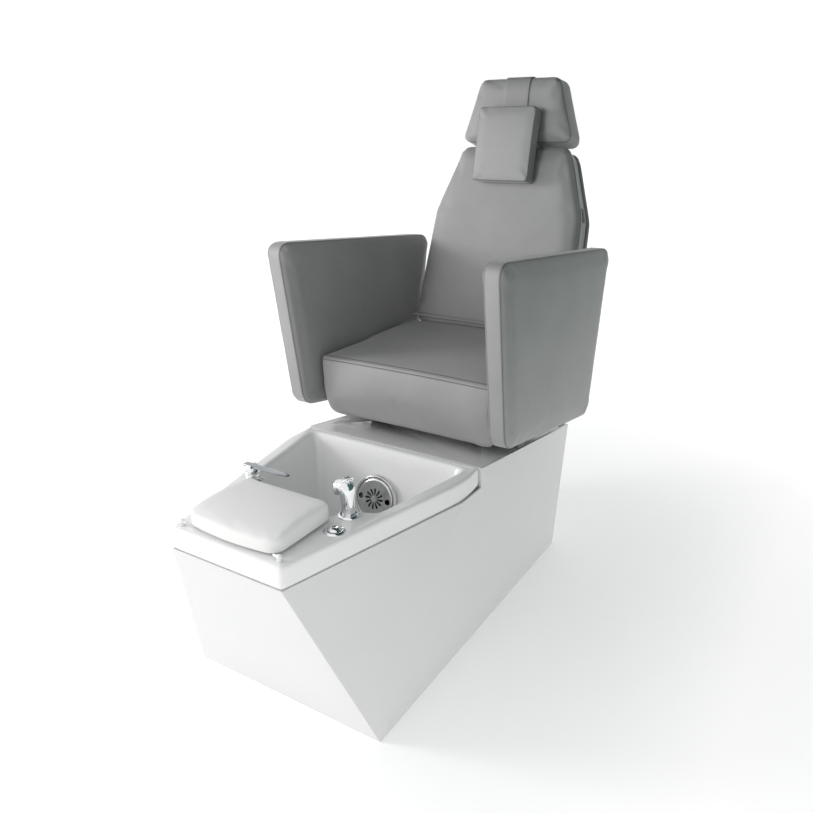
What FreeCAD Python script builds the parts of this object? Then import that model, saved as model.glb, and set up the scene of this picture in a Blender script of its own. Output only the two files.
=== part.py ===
import FreeCAD, Part
import math
import os
import re

import Sketcher
from FreeCAD import Placement, Rotation, Vector

# A pedicure spa chair: a faceted hollow base with a jetted foot basin at its front, and an
# upholstered armchair on slide rails behind it.
# Millimetres. +X is the sitter's left, -Y is the basin end, +Z is up. The origin is on the floor,
# under the middle of the base's footprint.

doc = FreeCAD.newDocument("pedicure_chair")

# ---------------------------------------------------------------- driving dimensions
DIMENSIONS = [
    # faceted base
    ("base_width", 540), ("base_length", 995), ("front_width", 300), ("front_y", -646),
    ("cabinet_top", 423.5), ("facet_y", -135), ("platform_y", -42), ("platform_top", 475),
    ("platform_slope", 7.8), ("back_lean", 9.4), ("shell_wall", 6), ("deck_thick", 12),
    ("panel_thick", 4), ("panel_clear", 1),
    # steel chassis inside the base
    ("tube_wide", 40), ("tube_tall", 30), ("rail_x", 190), ("leg_size", 30), ("cradle_x", 95),
    ("pedestal_x", 150),
    # basin
    ("rim_gap", 3), ("rim_wall", 6), ("rim_side", 266), ("basin_deck", 5), ("bowl_floor", 255),
    ("bowl_wall", 5), ("mouth_back_y", -67), ("mouth_back_x", 235), ("mouth_side_y", -362),
    ("mouth_side_x", 180), ("mouth_step_y", -392), ("mouth_step_x", 108), ("mouth_front_y", -455),
    ("mouth_front_x", 102), ("floor_back_y", -128), ("floor_back_x", 165), ("floor_side_y", -350),
    ("floor_side_x", 130), ("floor_step_y", -375), ("floor_step_x", 85), ("floor_front_y", -415),
    ("floor_front_x", 80),
    # basin fittings
    ("jet_z", 348), ("jet_ring", 62.5), ("jet_seat", 55), ("jet_cap", 54.6), ("jet_throat", 44),
    ("impeller_size", 34), ("shaft_size", 4), ("slot_count", 12), ("drain_y", -270),
    ("pipe_outer", 20), ("pipe_bore", 17), ("waste_z", 72), ("waste_end_y", 548),
    ("handset_x", 137), ("handset_y", -410), ("socket_bore", 11), ("switch_x", 151),
    ("switch_y", -479), ("switch_ring", 23.5), ("mixer_x", -158), ("mixer_y", -388),
    ("mixer_size", 18), ("lever_length", 138), ("lever_pin", 2),
    # footrest pad
    ("pad_side", 125), ("pad_front_y", -634), ("pad_back_y", -442), ("pad_thick", 46),
    ("lug_x", 132), ("lug_y", -627), ("lug_z", 485), ("foot_pin", 3),
    # slide rails and seat carriage, measured square to the sloping platform
    ("slide_x", 165), ("slide_length", 360), ("slide_start_y", 130), ("channel_wide", 26),
    ("channel_tall", 18), ("tongue_wide", 12), ("carriage_low", 29), ("carriage_thick", 4),
    ("carriage_half", 242), ("carriage_front_y", 96), ("carriage_back_y", 540),
    ("board_thick", 18),
    # seat and arms
    ("cushion_half", 266), ("seat_front_low_y", 33), ("seat_front_low_z", 500),
    ("seat_front_y", 8), ("seat_front_z", 670), ("seat_back_z", 680), ("seat_back_gap", 12),
    ("arm_inner", 275), ("arm_thick", 63), ("arm_front_top_y", -115), ("arm_front_top_z", 988),
    ("arm_front_low_y", -39), ("arm_front_low_z", 530), ("arm_back_low_y", 553),
    ("arm_back_low_z", 439), ("arm_back_top_y", 638), ("arm_back_top_z", 934),
    ("arm_core_inset", 24), ("arm_core_thick", 18), ("tab_thick", 4), ("tab_wide", 40),
    ("tab_tall", 76),
    # backrest, in its own leaning frame that starts at the bottom of its front face
    ("back_foot_y", 498), ("back_foot_z", 690), ("back_angle", 16), ("back_length", 546),
    ("back_low", -60), ("back_notch", 240), ("back_waist_z", 345), ("back_waist", 245),
    ("back_top", 177), ("back_foam", 90), ("back_board", 12), ("back_cover", 31),
    ("cover_wall", 4), ("hinge_in", 27), ("hinge_low", -86), ("hinge_pin", 7),
    ("hinge_clear", 0.05), ("hinge_plate", 5), ("welt_size", 7),
    # headrest and neck pillow
    ("head_gap", 11), ("head_low", 178), ("head_high", 127), ("head_height", 178),
    ("head_lean", 3.6), ("head_thick", 98), ("post_x", 70), ("post_in", 58), ("post_size", 6),
    ("sleeve_size", 9), ("post_clear", 0.06), ("post_below", 190), ("post_above", 72),
    ("strap_wide", 80), ("strap_thick", 2.5), ("strap_clear", 0.6), ("strap_front", 150),
    ("strap_back", 90), ("pillow_wide", 185), ("pillow_tall", 215), ("pillow_thick", 52),
    ("pillow_lean", 11.5), ("pillow_foot_y", 603), ("pillow_foot_z", 1103),
    ("weight_wide", 92), ("weight_tall", 84), ("weight_thick", 22),
]
sheet = doc.addObject("Spreadsheet::Sheet", "dims")
for row, (alias, value) in enumerate(DIMENSIONS, start=1):
    sheet.set(f"A{row}", alias)
    sheet.set(f"B{row}", str(value))
    sheet.setAlias(f"B{row}", alias)
doc.recompute()
ALIASES = {alias for alias, _ in DIMENSIONS}


# ---------------------------------------------------------------- helpers
def cells(expression):
    """The expression with every dimension's name turned into its spreadsheet cell."""
    return re.sub(r"[a-z_]+", lambda m: "dims." + m[0] if m[0] in ALIASES else m[0], str(expression))


def value(expression):
    """What the expression comes to, in millimetres or degrees."""
    result = sheet.evalExpression(cells(expression))
    return float(getattr(result, "Value", result))


def bind(item, **sizes):
    """Tie properties of an object to the spreadsheet."""
    for name, expression in sizes.items():
        item.setExpression(name.replace("__", "."), cells(expression))
    return item


def label(item, name, place=None):
    item.Label = name
    if place is not None:
        item.Placement = place
    return item


def body(name, place=None):
    return label(doc.addObject("PartDesign::Body", name), name, place)


def sketch(owner, name, plane, lift="0"):
    """A sketch on one of the body's own origin planes, lifted along that plane's normal."""
    item = owner.newObject("Sketcher::SketchObject", name)
    support = [f for f in owner.Origin.OriginFeatures if f.Role == plane][0]
    item.AttachmentSupport = (support, [""])
    item.MapMode = "FlatFace"
    item.setExpression("AttachmentOffset.Base.z", cells(lift))
    return item


def outline(item, points):
    """A closed outline of straight lines; each coordinate is an expression."""
    spots = [Vector(value(x), value(y), 0) for x, y in points]
    count = len(points)
    first = item.GeometryCount
    for i in range(count):
        item.addGeometry(Part.LineSegment(spots[i], spots[(i + 1) % count]))
    for i in range(count):
        item.addConstraint(Sketcher.Constraint("Coincident", first + i, 2, first + (i + 1) % count, 1))
    for i, (x, y) in enumerate(points):
        for kind, expression in (("DistanceX", x), ("DistanceY", y)):
            number = item.addConstraint(
                Sketcher.Constraint(kind, -1, 1, first + i, 1, value(expression)))
            item.setExpression(f"Constraints[{number}]", cells(expression))
    return item


def circle(item, x, y, radius):
    centre = Vector(value(x), value(y), 0)
    number = item.addGeometry(Part.Circle(centre, Vector(0, 0, 1), value(radius)))
    for kind, expression in (("DistanceX", x), ("DistanceY", y)):
        rule = item.addConstraint(Sketcher.Constraint(kind, -1, 1, number, 3, value(expression)))
        item.setExpression(f"Constraints[{rule}]", cells(expression))
    rule = item.addConstraint(Sketcher.Constraint("Radius", number, value(radius)))
    item.setExpression(f"Constraints[{rule}]", cells(radius))
    return item


def pad(owner, profile, length, midplane=False, reverse=False):
    item = owner.newObject("PartDesign::Pad", owner.Name + "_pad")
    item.Profile = profile
    item.Midplane = midplane
    item.Reversed = reverse
    bind(item, Length=length)
    doc.recompute()
    return item


def pocket(owner, profile, length, midplane=False, reverse=False):
    """A pocket that has to remove material."""
    before = owner.Shape.Volume
    item = owner.newObject("PartDesign::Pocket", owner.Name + "_pocket")
    item.Profile = profile
    item.Midplane = midplane
    item.Reversed = reverse
    bind(item, Length=length)
    doc.recompute()
    if owner.Shape.Volume > before - 1:
        raise RuntimeError(f"{item.Name} cuts nothing")
    return item


def edges(shape, wanted):
    return [f"Edge{i}" for i, edge in enumerate(shape.Edges, start=1) if wanted(edge)]


def fillet(owner, radius, wanted):
    base = owner.Tip
    item = owner.newObject("PartDesign::Fillet", owner.Name + "_fillet")
    item.Base = (base, edges(base.Shape, wanted))
    bind(item, Radius=radius)
    doc.recompute()
    if "Invalid" in item.State:
        raise RuntimeError(f"{item.Name} fails on {item.Base}")
    return item


def along(axis):
    """A test for straight edges parallel to an axis."""
    def test(edge):
        if len(edge.Vertexes) != 2:
            return False
        run = edge.Vertexes[1].Point - edge.Vertexes[0].Point
        return run.Length > 1 and abs(run.normalize().dot(axis)) > 0.999
    return test


def cylinder(name, radius, height, place):
    item = doc.addObject("Part::Cylinder", name)
    bind(item, Radius=radius, Height=height)
    return label(item, name, place)


def tube(name, outer, inner, height, place):
    """A round tube, made as one cylinder less another."""
    wall = cylinder(name + "_wall", outer, height, place)
    bore = cylinder(name + "_bore", inner, height, place)
    return cut(name, wall, bore)


def box(name, length, width, height, place):
    item = doc.addObject("Part::Box", name)
    bind(item, Length=length, Width=width, Height=height)
    return label(item, name, place)


def cut(name, base, tool):
    item = doc.addObject("Part::Cut", name)
    item.Base = base
    item.Tool = tool
    doc.recompute()
    if item.Shape.Volume > base.Shape.Volume - 1e-3:
        raise RuntimeError(f"{name} cuts nothing")
    return label(item, name)


def fuse(name, *members):
    item = doc.addObject("Part::MultiFuse", name)
    item.Shapes = list(members)
    item.Refine = True
    return label(item, name)


def group(name, *members):
    item = doc.addObject("Part::Compound", name)
    item.Links = list(members)
    return label(item, name)


def mirrored(name, source):
    item = doc.addObject("Part::Mirroring", name)
    item.Source = source
    item.Normal = Vector(1, 0, 0)
    return label(item, name)


def at(x, y, z, turn=None):
    return Placement(Vector(value(x), value(y), value(z)), turn or Rotation())


nodes = []


def keep(*items):
    """Mark finished sub-parts, which are written at the end."""
    nodes.extend(items)


# ---------------------------------------------------------------- shared places
SLOPE = math.radians(value("platform_slope"))
LEAN = math.radians(value("back_angle"))
X_AXIS = Vector(1, 0, 0)
Y_AXIS = Vector(0, 1, 0)
Z_AXIS = Vector(0, 0, 1)
PLATFORM_Z = "(platform_top - ({y} - platform_y) * tan(platform_slope * 1deg))"
BACK_Y = "(base_length / 2 + ({z}) * tan(back_lean * 1deg))"


def on_platform(x, y, up):
    """A place above the sloping platform, with its own Y down the slope and Z square to it."""
    turn = Rotation(X_AXIS, -value("platform_slope"))
    foot = Vector(value(x), value(y), value(PLATFORM_Z.format(y=f"({y})")))
    return Placement(foot + turn.multVec(Vector(0, 0, value(up))), turn)


def on_back(x, deep, up):
    """A place in the backrest's leaning frame."""
    turn = Rotation(X_AXIS, -value("back_angle"))
    foot = Vector(0, value("back_foot_y"), value("back_foot_z"))
    return Placement(foot + turn.multVec(Vector(value(x), value(deep), value(up))), turn)


# ---------------------------------------------------------------- base: cabinet and panels
REAR_TOP_Y = ("((base_length / 2 + tan(back_lean * 1deg) * (platform_top + platform_y"
              " * tan(platform_slope * 1deg))) / (1 + tan(back_lean * 1deg) * tan(platform_slope * 1deg)))")


def faceted(name, profile_points, width, inset):
    """A padded side profile whose two front corners are sliced off, the slices moved in by inset."""
    block = body(name)
    profile = outline(sketch(block, name + "_profile", "YZ_Plane"), profile_points)
    pad(block, profile, width, midplane=True)
    solid = block
    for side, hand in ((1, "left"), (-1, "right")):
        corner = Vector(side * value("front_width / 2"), value("front_y"), value("cabinet_top"))
        shoulder = Vector(side * value("base_width / 2"), value("facet_y"), value("cabinet_top"))
        foot = Vector(side * value("base_width / 2"), value("-base_length / 2"), 0)
        normal = (shoulder - corner).cross(foot - corner).normalize()
        if normal.x * side < 0:
            normal = normal * -1
        turn = Rotation(Z_AXIS, normal)
        slab = Vector(value("-base_length"), value("-base_length"), -value(inset))
        slicer = box(f"{name}_{hand}_slicer", "base_length * 2", "base_length * 2", "base_width",
                     Placement(corner + turn.multVec(slab), turn))
        solid = cut(f"{name}_{hand}_facet", solid, slicer)
    return solid


def cabinet_shell():
    """The faceted outer shell: open below, at the back, under the tub and under the platform."""
    outer = faceted("cabinet_block", [
        ("-base_length / 2", "0"), ("base_length / 2", "0"),
        (REAR_TOP_Y, PLATFORM_Z.format(y=REAR_TOP_Y)), ("platform_y", "platform_top"),
        ("platform_y", "cabinet_top"), ("front_y", "cabinet_top")], "base_width", "0")
    lean = "((front_y + base_length / 2) / cabinet_top)"
    front = "(-base_length / 2 + {z} * " + lean + " + shell_wall * sqrt(1 + " + lean + " ^ 2))"
    inner = faceted("cabinet_space", [
        (front.format(z="-20"), "-20"), ("base_length", "-20"), ("base_length", "base_width"),
        ("platform_y + shell_wall", "base_width"), ("platform_y + shell_wall", "cabinet_top"),
        ("platform_y - 1", "cabinet_top"), ("platform_y - 1", "cabinet_top + 20"),
        (front.format(z="(cabinet_top + 20)"), "cabinet_top + 20")],
        "base_width - 2 * shell_wall", "shell_wall")
    return cut("cabinet_shell", outer, inner)


def platform_deck():
    """The sloping top panel behind the basin, set between the shell's walls."""
    deck = body("platform_deck")
    front = "(platform_y + shell_wall + panel_clear)"
    under = "deck_thick / cos(platform_slope * 1deg)"
    profile = outline(sketch(deck, "deck_profile", "YZ_Plane"), [
        (front, PLATFORM_Z.format(y=front) + " - " + under), (front, PLATFORM_Z.format(y=front)),
        (REAR_TOP_Y, PLATFORM_Z.format(y=REAR_TOP_Y)),
        (REAR_TOP_Y, PLATFORM_Z.format(y=REAR_TOP_Y) + " - " + under)])
    pad(deck, profile, "base_width - 2 * shell_wall - 2 * panel_clear", midplane=True)
    for side in (-1, 1):
        holes = sketch(deck, f"deck_bolt_holes_{side + 1}", "XY_Plane", "platform_top + 50")
        for along_y in (160, 300, 440):
            circle(holes, f"{side} * slide_x", along_y, 3.5)
        pocket(deck, holes, "300")
    return deck


INLET_X = 70
INLET_Z = 112
SCREW_SPOTS = [(x, z) for x in (-240, 0, 240) for z in (24, 345)]


def rear_panel():
    """The removable service panel in the open back, with holes for its three connections."""
    panel = body("rear_service_panel", Placement(
        Vector(0, value("base_length / 2"), 0), Rotation(X_AXIS, -value("back_lean"))))
    top = value("(" + PLATFORM_Z.format(y=REAR_TOP_Y) + " - 2 * deck_thick) / cos(back_lean * 1deg)")
    half = "(base_width / 2 - shell_wall - panel_clear)"
    face = outline(sketch(panel, "panel_outline", "XZ_Plane"), [
        (f"-{half}", 6), (half, 6), (half, top), (f"-{half}", top)])
    pad(panel, face, "panel_thick")
    openings = sketch(panel, "panel_openings", "XZ_Plane", "panel_thick / 2")
    circle(openings, 0, "waste_z / cos(back_lean * 1deg)", "pipe_outer + 10")
    for x in (-INLET_X, INLET_X):
        circle(openings, x, INLET_Z, 17.5)
    outline(openings, [(136, 96), (164, 96), (164, 118), (136, 118)])
    for x, z in SCREW_SPOTS:
        circle(openings, x, z, 2.7)
    pocket(panel, openings, "panel_thick * 3", midplane=True)
    return panel


def panel_screws():
    """Six pan-head screws that hold the service panel."""
    turn = Rotation(X_AXIS, -value("back_lean") + -90)
    base = Vector(0, value("base_length / 2"), 0)
    lean = Rotation(X_AXIS, -value("back_lean"))
    screws = []
    for number, (x, z) in enumerate(SCREW_SPOTS):
        spot = base + lean.multVec(Vector(x, -14, z))
        shank = cylinder(f"screw_shank_{number}", 2.5, 14, Placement(spot, turn))
        head = cylinder(f"screw_head_{number}", 5, 3,
                        Placement(base + lean.multVec(Vector(x, 0.05, z)), turn))
        screws.append(fuse(f"screw_{number}", shank, head))
    return group("panel_screws", *screws)


keep(cabinet_shell(), platform_deck(), rear_panel(), panel_screws())


# ---------------------------------------------------------------- base: steel structure
CROSSBAR_Y = (-385, -125, 0, 130, 400)
TUBE_WALL = 2.5


def square_tube(name, sides, place, along_axis):
    """An open-ended rectangular tube; along_axis (0, 1 or 2) is the side it is open along."""
    solid = box(name + "_bar", *sides, place)
    inner = [f"({side}) - {2 * TUBE_WALL}" for side in sides]
    inner[along_axis] = f"({sides[along_axis]}) + 2"
    shift = [TUBE_WALL, TUBE_WALL, TUBE_WALL]
    shift[along_axis] = -1
    space = box(name + "_space", *inner, place.multiply(Placement(Vector(*shift), Rotation())))
    return cut(name, solid, space)


def chassis():
    """Two long floor rails with cross bars between them."""
    rail_length = "base_length - 60"
    rails = [square_tube(f"floor_rail_{i}", ("tube_wide", rail_length, "tube_tall"),
                         at(f"{side} * rail_x - tube_wide / 2", f"-({rail_length}) / 2", 0), 1)
             for i, side in enumerate((-1, 1))]
    span = "2 * rail_x - tube_wide"
    bars = [square_tube(f"cross_bar_{i}", (span, "tube_wide", "tube_tall"),
                        at(f"-({span}) / 2", f"{y} - tube_wide / 2", 0), 0)
            for i, y in enumerate(CROSSBAR_Y)]
    return group("chassis_rails", *rails), group("chassis_crossbars", *bars)


def basin_cradle():
    """Four legs and two bearers under the bowl."""
    members = []
    height = "bowl_floor - bowl_wall - 1 - tube_tall"
    for i, (side, y) in enumerate(((-1, -385), (1, -385), (-1, -145), (1, -145))):
        members.append(square_tube(
            f"cradle_leg_{i}", ("leg_size", "leg_size", f"{height} - leg_size"),
            at(f"{side} * cradle_x - leg_size / 2", f"{y} - leg_size / 2", "tube_tall"), 2))
    for i, side in enumerate((-1, 1)):
        members.append(square_tube(
            f"cradle_bearer_{i}", ("leg_size", 290, "leg_size"),
            at(f"{side} * cradle_x - leg_size / 2", -410, height), 1))
    return group("basin_cradle", *members)


def pedestal_posts():
    """Four posts that carry the platform, cut to its slope at the top."""
    posts = []
    under = "deck_thick / cos(platform_slope * 1deg)"
    for i, (side, y) in enumerate(((-1, 130), (1, 130), (-1, 400), (1, 400))):
        post = body(f"pedestal_post_{i}")
        near, far = f"({y} - tube_wide / 2)", f"({y} + tube_wide / 2)"
        profile = outline(sketch(post, f"post_profile_{i}", "YZ_Plane", f"{side} * pedestal_x"), [
            (near, "tube_tall"), (far, "tube_tall"),
            (far, PLATFORM_Z.format(y=far) + " - " + under),
            (near, PLATFORM_Z.format(y=near) + " - " + under)])
        pad(post, profile, "tube_wide", midplane=True)
        inner = f"tube_wide - {2 * TUBE_WALL}"
        space = box(f"post_space_{i}", inner, inner, "platform_top",
                    at(f"{side} * pedestal_x - ({inner}) / 2", f"{y} - ({inner}) / 2", 0))
        posts.append(cut(f"pedestal_tube_{i}", post, space))
    return group("pedestal_posts", *posts)


keep(*chassis(), basin_cradle(), pedestal_posts())


# ---------------------------------------------------------------- basin
def both_sides(points):
    """A half outline on the +X side, closed by its mirror image."""
    return points + [(f"-({x})", y) for x, y in reversed(points)]


def rim_outline(inset):
    return both_sides([
        (f"(rim_side - 2 - {inset})", f"(platform_y - 0.5 - {inset})"),
        (f"(rim_side - {inset})", f"(facet_y - 0.2 * {inset})"),
        (f"(front_width / 2 - 0.8 * {inset})", f"(front_y + 1 + {inset})")])


def bowl_outline(level, grow):
    return both_sides([
        (f"({level}_back_x + {grow})", f"({level}_back_y + {grow})"),
        (f"({level}_side_x + {grow})", f"({level}_side_y - {grow} / 2)"),
        (f"({level}_step_x + {grow})", f"({level}_step_y - {grow})"),
        (f"({level}_front_x + {grow})", f"({level}_front_y - {grow})")])


JET_TILT = math.atan2(value("mouth_back_y - floor_back_y"), value("platform_top - bowl_floor"))
JET_PLACE = Placement(
    Vector(0, value("floor_back_y") + (value("jet_z") - value("bowl_floor")) * math.tan(JET_TILT),
           value("jet_z")),
    Rotation(X_AXIS, 90 - math.degrees(JET_TILT)))


def along_jet(distance):
    """A place on the jet's axis; a positive distance is out into the basin."""
    return Placement(JET_PLACE.multVec(Vector(0, 0, distance)), JET_PLACE.Rotation)


def basin_tub():
    """A moulded tub: a skirted rim, a flat deck and a tapering bowl of even wall."""
    tub = body("basin_moulding")
    rim = outline(sketch(tub, "rim_outline", "XY_Plane", "cabinet_top + rim_gap"), rim_outline(0))
    pad(tub, rim, "platform_top - cabinet_top - rim_gap")
    fillet(tub, 12, along(Z_AXIS))
    hollow = outline(sketch(tub, "skirt_hollow", "XY_Plane", "platform_top - basin_deck"),
                     rim_outline("rim_wall"))
    pocket(tub, hollow, 60)
    outer_top = outline(sketch(tub, "bowl_outer_mouth", "XY_Plane", "platform_top - basin_deck"),
                        bowl_outline("mouth", "bowl_wall"))
    outer_low = outline(sketch(tub, "bowl_outer_floor", "XY_Plane", "bowl_floor - bowl_wall"),
                        bowl_outline("floor", "bowl_wall"))
    wall = tub.newObject("PartDesign::AdditiveLoft", "bowl_outer")
    wall.Profile = outer_top
    wall.Sections = [outer_low]
    wall.Ruled = True
    inner_top = outline(sketch(tub, "bowl_mouth", "XY_Plane", "platform_top"),
                        bowl_outline("mouth", "0"))
    inner_low = outline(sketch(tub, "bowl_floor_outline", "XY_Plane", "bowl_floor"),
                        bowl_outline("floor", "0"))
    doc.recompute()
    before = tub.Shape.Volume
    space = tub.newObject("PartDesign::SubtractiveLoft", "bowl_space")
    space.Profile = inner_top
    space.Sections = [inner_low]
    space.Ruled = True
    doc.recompute()
    if tub.Shape.Volume > before - 1:
        raise RuntimeError("the bowl is not hollow")
    drill = "platform_top - basin_deck - 20"
    drills = [
        cylinder("jet_drill", "jet_throat + 0.5", 60, along_jet(-30)),
        cylinder("drain_drill", "pipe_outer + 0.5", 30, at(0, "drain_y", "bowl_floor - 20")),
        cylinder("handset_drill", "socket_bore + 4.5", 40, at("handset_x", "handset_y", drill)),
        cylinder("switch_drill", 14.5, 40, at("switch_x", "switch_y", drill)),
        cylinder("mixer_drill", 12.5, 40, at("mixer_x", "mixer_y", drill)),
    ]
    return cut("basin_tub", tub, group("basin_drills", *drills))


def rim_gasket():
    """The dark seal between the tub's skirt and the cabinet."""
    seal = body("rim_gasket")
    ring = sketch(seal, "seal_ring", "XY_Plane", "cabinet_top + 0.05")
    outline(ring, rim_outline("2"))
    outline(ring, rim_outline("5.6"))
    pad(seal, ring, "rim_gap - 0.1")
    return seal


keep(basin_tub(), rim_gasket())


# ---------------------------------------------------------------- water jet
def jet_flange():
    """The ring on the basin's back wall, with a threaded throat through the wall."""
    plate = tube("jet_plate", "jet_ring", "jet_throat - 4", 6, along_jet(0.3))
    lip = tube("jet_lip", "jet_ring", "jet_seat", 9, along_jet(6.3))
    throat = tube("jet_thread", "jet_throat", "jet_throat - 4", 24, along_jet(-23.7))
    return fuse("jet_flange", plate, lip, throat)


def jet_cap():
    """The twist-off cap: a disc with curved suction slots and two outlet nozzles."""
    cap = body("jet_cap", along_jet(6.8))
    disc = circle(sketch(cap, "cap_disc", "XY_Plane"), 0, 0, "jet_cap")
    pad(cap, disc, 10)
    fillet(cap, 7, lambda e: abs(e.CenterOfMass.z - 10) < 0.01)
    nozzle_holes = sketch(cap, "nozzle_holes", "XY_Plane", 10)
    for side in (-1, 1):
        circle(nozzle_holes, f"{side} * (jet_throat - 3)", 0, 7.5)
    pocket(cap, nozzle_holes, 30)
    slot = outline(sketch(cap, "cap_slot", "XY_Plane", 10),
                   [(9, -1.2), (18, -3), (26, -2.2), (28, 1), (25, 3), (17, 1.6), (9, 1.2)])
    first = pocket(cap, slot, 30)
    ring = cap.newObject("PartDesign::PolarPattern", "cap_slots")
    ring.Originals = [first]
    ring.Axis = (cap.Origin.OriginFeatures[2], [""])
    ring.Angle = 360
    ring.Occurrences = int(value("slot_count"))
    cap.Tip = ring
    return cap


def impeller():
    """A hub with six paddles on the motor's shaft."""
    wheel = body("jet_impeller", along_jet(-24))
    hub = circle(sketch(wheel, "hub", "XY_Plane"), 0, 0, 9)
    pad(wheel, hub, 14)
    blade = outline(sketch(wheel, "paddle", "XY_Plane"),
                    [(7, -1.2), ("impeller_size", -1.2), ("impeller_size", 1.2), (7, 1.2)])
    first = pad(wheel, blade, 10)
    ring = wheel.newObject("PartDesign::PolarPattern", "paddles")
    ring.Originals = [first]
    ring.Axis = (wheel.Origin.OriginFeatures[2], [""])
    ring.Angle = 360
    ring.Occurrences = 6
    wheel.Tip = ring
    doc.recompute()
    bore = circle(sketch(wheel, "shaft_bore", "XY_Plane"), 0, 0, "shaft_size + 0.02")
    pocket(wheel, bore, 40, midplane=True)
    return wheel


def jet_pump():
    """The volute behind the wall, the motor behind it, and the shaft that joins them."""
    barrel = tube("volute_barrel", 52, "impeller_size + 11", 25, along_jet(-32))
    back = tube("volute_back", 52, "shaft_size + hinge_clear", 6, along_jet(-38))
    volute = fuse("jet_volute", barrel, back)
    can = cylinder("motor_can", 46, 96, along_jet(-136))
    boss = cylinder("motor_boss", 22, 2, along_jet(-40))
    bore = cylinder("motor_bore", "shaft_size + hinge_clear", 60, along_jet(-96))
    motor = cut("jet_motor", fuse("motor_solid", can, boss), bore)
    shaft = cylinder("motor_shaft", "shaft_size", 78, along_jet(-90))
    return volute, motor, shaft


keep(jet_flange(), jet_cap(), impeller(), *jet_pump())


# ---------------------------------------------------------------- drain and supplies
def drain():
    """A flanged strainer in the floor, its lift-out plug and the waste pipe to the back."""
    stem_clear = "4 + hinge_clear"
    flange = tube("drain_rim", 32, "pipe_bore", 3, at(0, "drain_y", "bowl_floor + 0.2"))
    neck = tube("drain_neck", "pipe_outer", "pipe_bore", 26, at(0, "drain_y", "bowl_floor - 25.8"))
    bridge = box("drain_bridge", "2 * pipe_bore + 2", 6, 5,
                 at("-pipe_bore - 1", "drain_y - 3", "bowl_floor - 12"))
    guide = cylinder("drain_guide", 8, 5, at(0, "drain_y", "bowl_floor - 12"))
    solid = fuse("drain_solid", flange, neck, bridge, guide)
    bore = cylinder("drain_guide_bore", stem_clear, 20, at(0, "drain_y", "bowl_floor - 18"))
    strainer = cut("drain_strainer", solid, bore)
    head = cylinder("plug_head", 26, 5, at(0, "drain_y", "bowl_floor + 3.6"))
    stem = cylinder("plug_stem", 4, 24, at(0, "drain_y", "bowl_floor - 20"))
    plug = fuse("drain_plug", head, stem)

    waste = body("waste_pipe")
    path = sketch(waste, "waste_path", "YZ_Plane")
    bend, top, low = 45.0, value("bowl_floor - 26.2"), value("waste_z")
    start, end = value("drain_y"), value("waste_end_y - 34.2")
    path.addGeometry(Part.LineSegment(Vector(start, top, 0), Vector(start, low + bend, 0)))
    path.addGeometry(Part.ArcOfCircle(
        Part.Circle(Vector(start + bend, low + bend, 0), Z_AXIS, bend), math.pi, 1.5 * math.pi))
    path.addGeometry(Part.LineSegment(Vector(start + bend, low, 0), Vector(end, low, 0)))
    section = sketch(waste, "waste_section", "XY_Plane", "bowl_floor - 26.2")
    circle(section, 0, "drain_y", "pipe_outer - 1.5")
    circle(section, 0, "drain_y", "pipe_bore - 1")
    pipe = waste.newObject("PartDesign::AdditivePipe", "waste_sweep")
    pipe.Profile = section
    pipe.Spine = (path, ["Edge1", "Edge2", "Edge3"])
    doc.recompute()
    toward_back = Rotation(X_AXIS, -90)
    spigot = fuse("waste_spigot",
                  tube("spigot_tail", "pipe_outer", "pipe_bore", 34,
                       at(0, "waste_end_y - 34", "waste_z", toward_back)),
                  tube("spigot_collar", "pipe_outer + 3", "pipe_outer", 6,
                       at(0, "waste_end_y - 40", "waste_z", toward_back)))
    return strainer, plug, waste, spigot


def inlets():
    """Hot and cold threaded tails that pass through the service panel."""
    lean = Rotation(X_AXIS, -value("back_lean"))
    base = Vector(0, value("base_length / 2"), 0)
    turn = Rotation(X_AXIS, -value("back_lean") - 90)
    tails = []
    for number, x in enumerate((-INLET_X, INLET_X)):
        tail = cylinder(f"inlet_tail_{number}", 10.48, 50,
                        Placement(base + lean.multVec(Vector(x, -30, INLET_Z)), turn))
        collar = cylinder(f"inlet_collar_{number}", 16, 10,
                          Placement(base + lean.multVec(Vector(x, -16, INLET_Z)), turn))
        tails.append(fuse(f"inlet_{number}", tail, collar))
    return group("water_inlets", *tails)


def power_inlet():
    """A plain three-pole appliance inlet, shown as a socket block in the service panel."""
    lean = Rotation(X_AXIS, -value("back_lean"))
    base = Vector(0, value("base_length / 2"), 0)
    block = box("inlet_block", 27, 30, 21, Placement(base + lean.multVec(Vector(136.5, -26, 96.5)), lean))
    recess = box("inlet_recess", 21, 14, 15, Placement(base + lean.multVec(Vector(139.5, -8, 99.5)), lean))
    return cut("power_inlet", block, recess)


keep(*drain(), inlets(), power_inlet())


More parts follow.
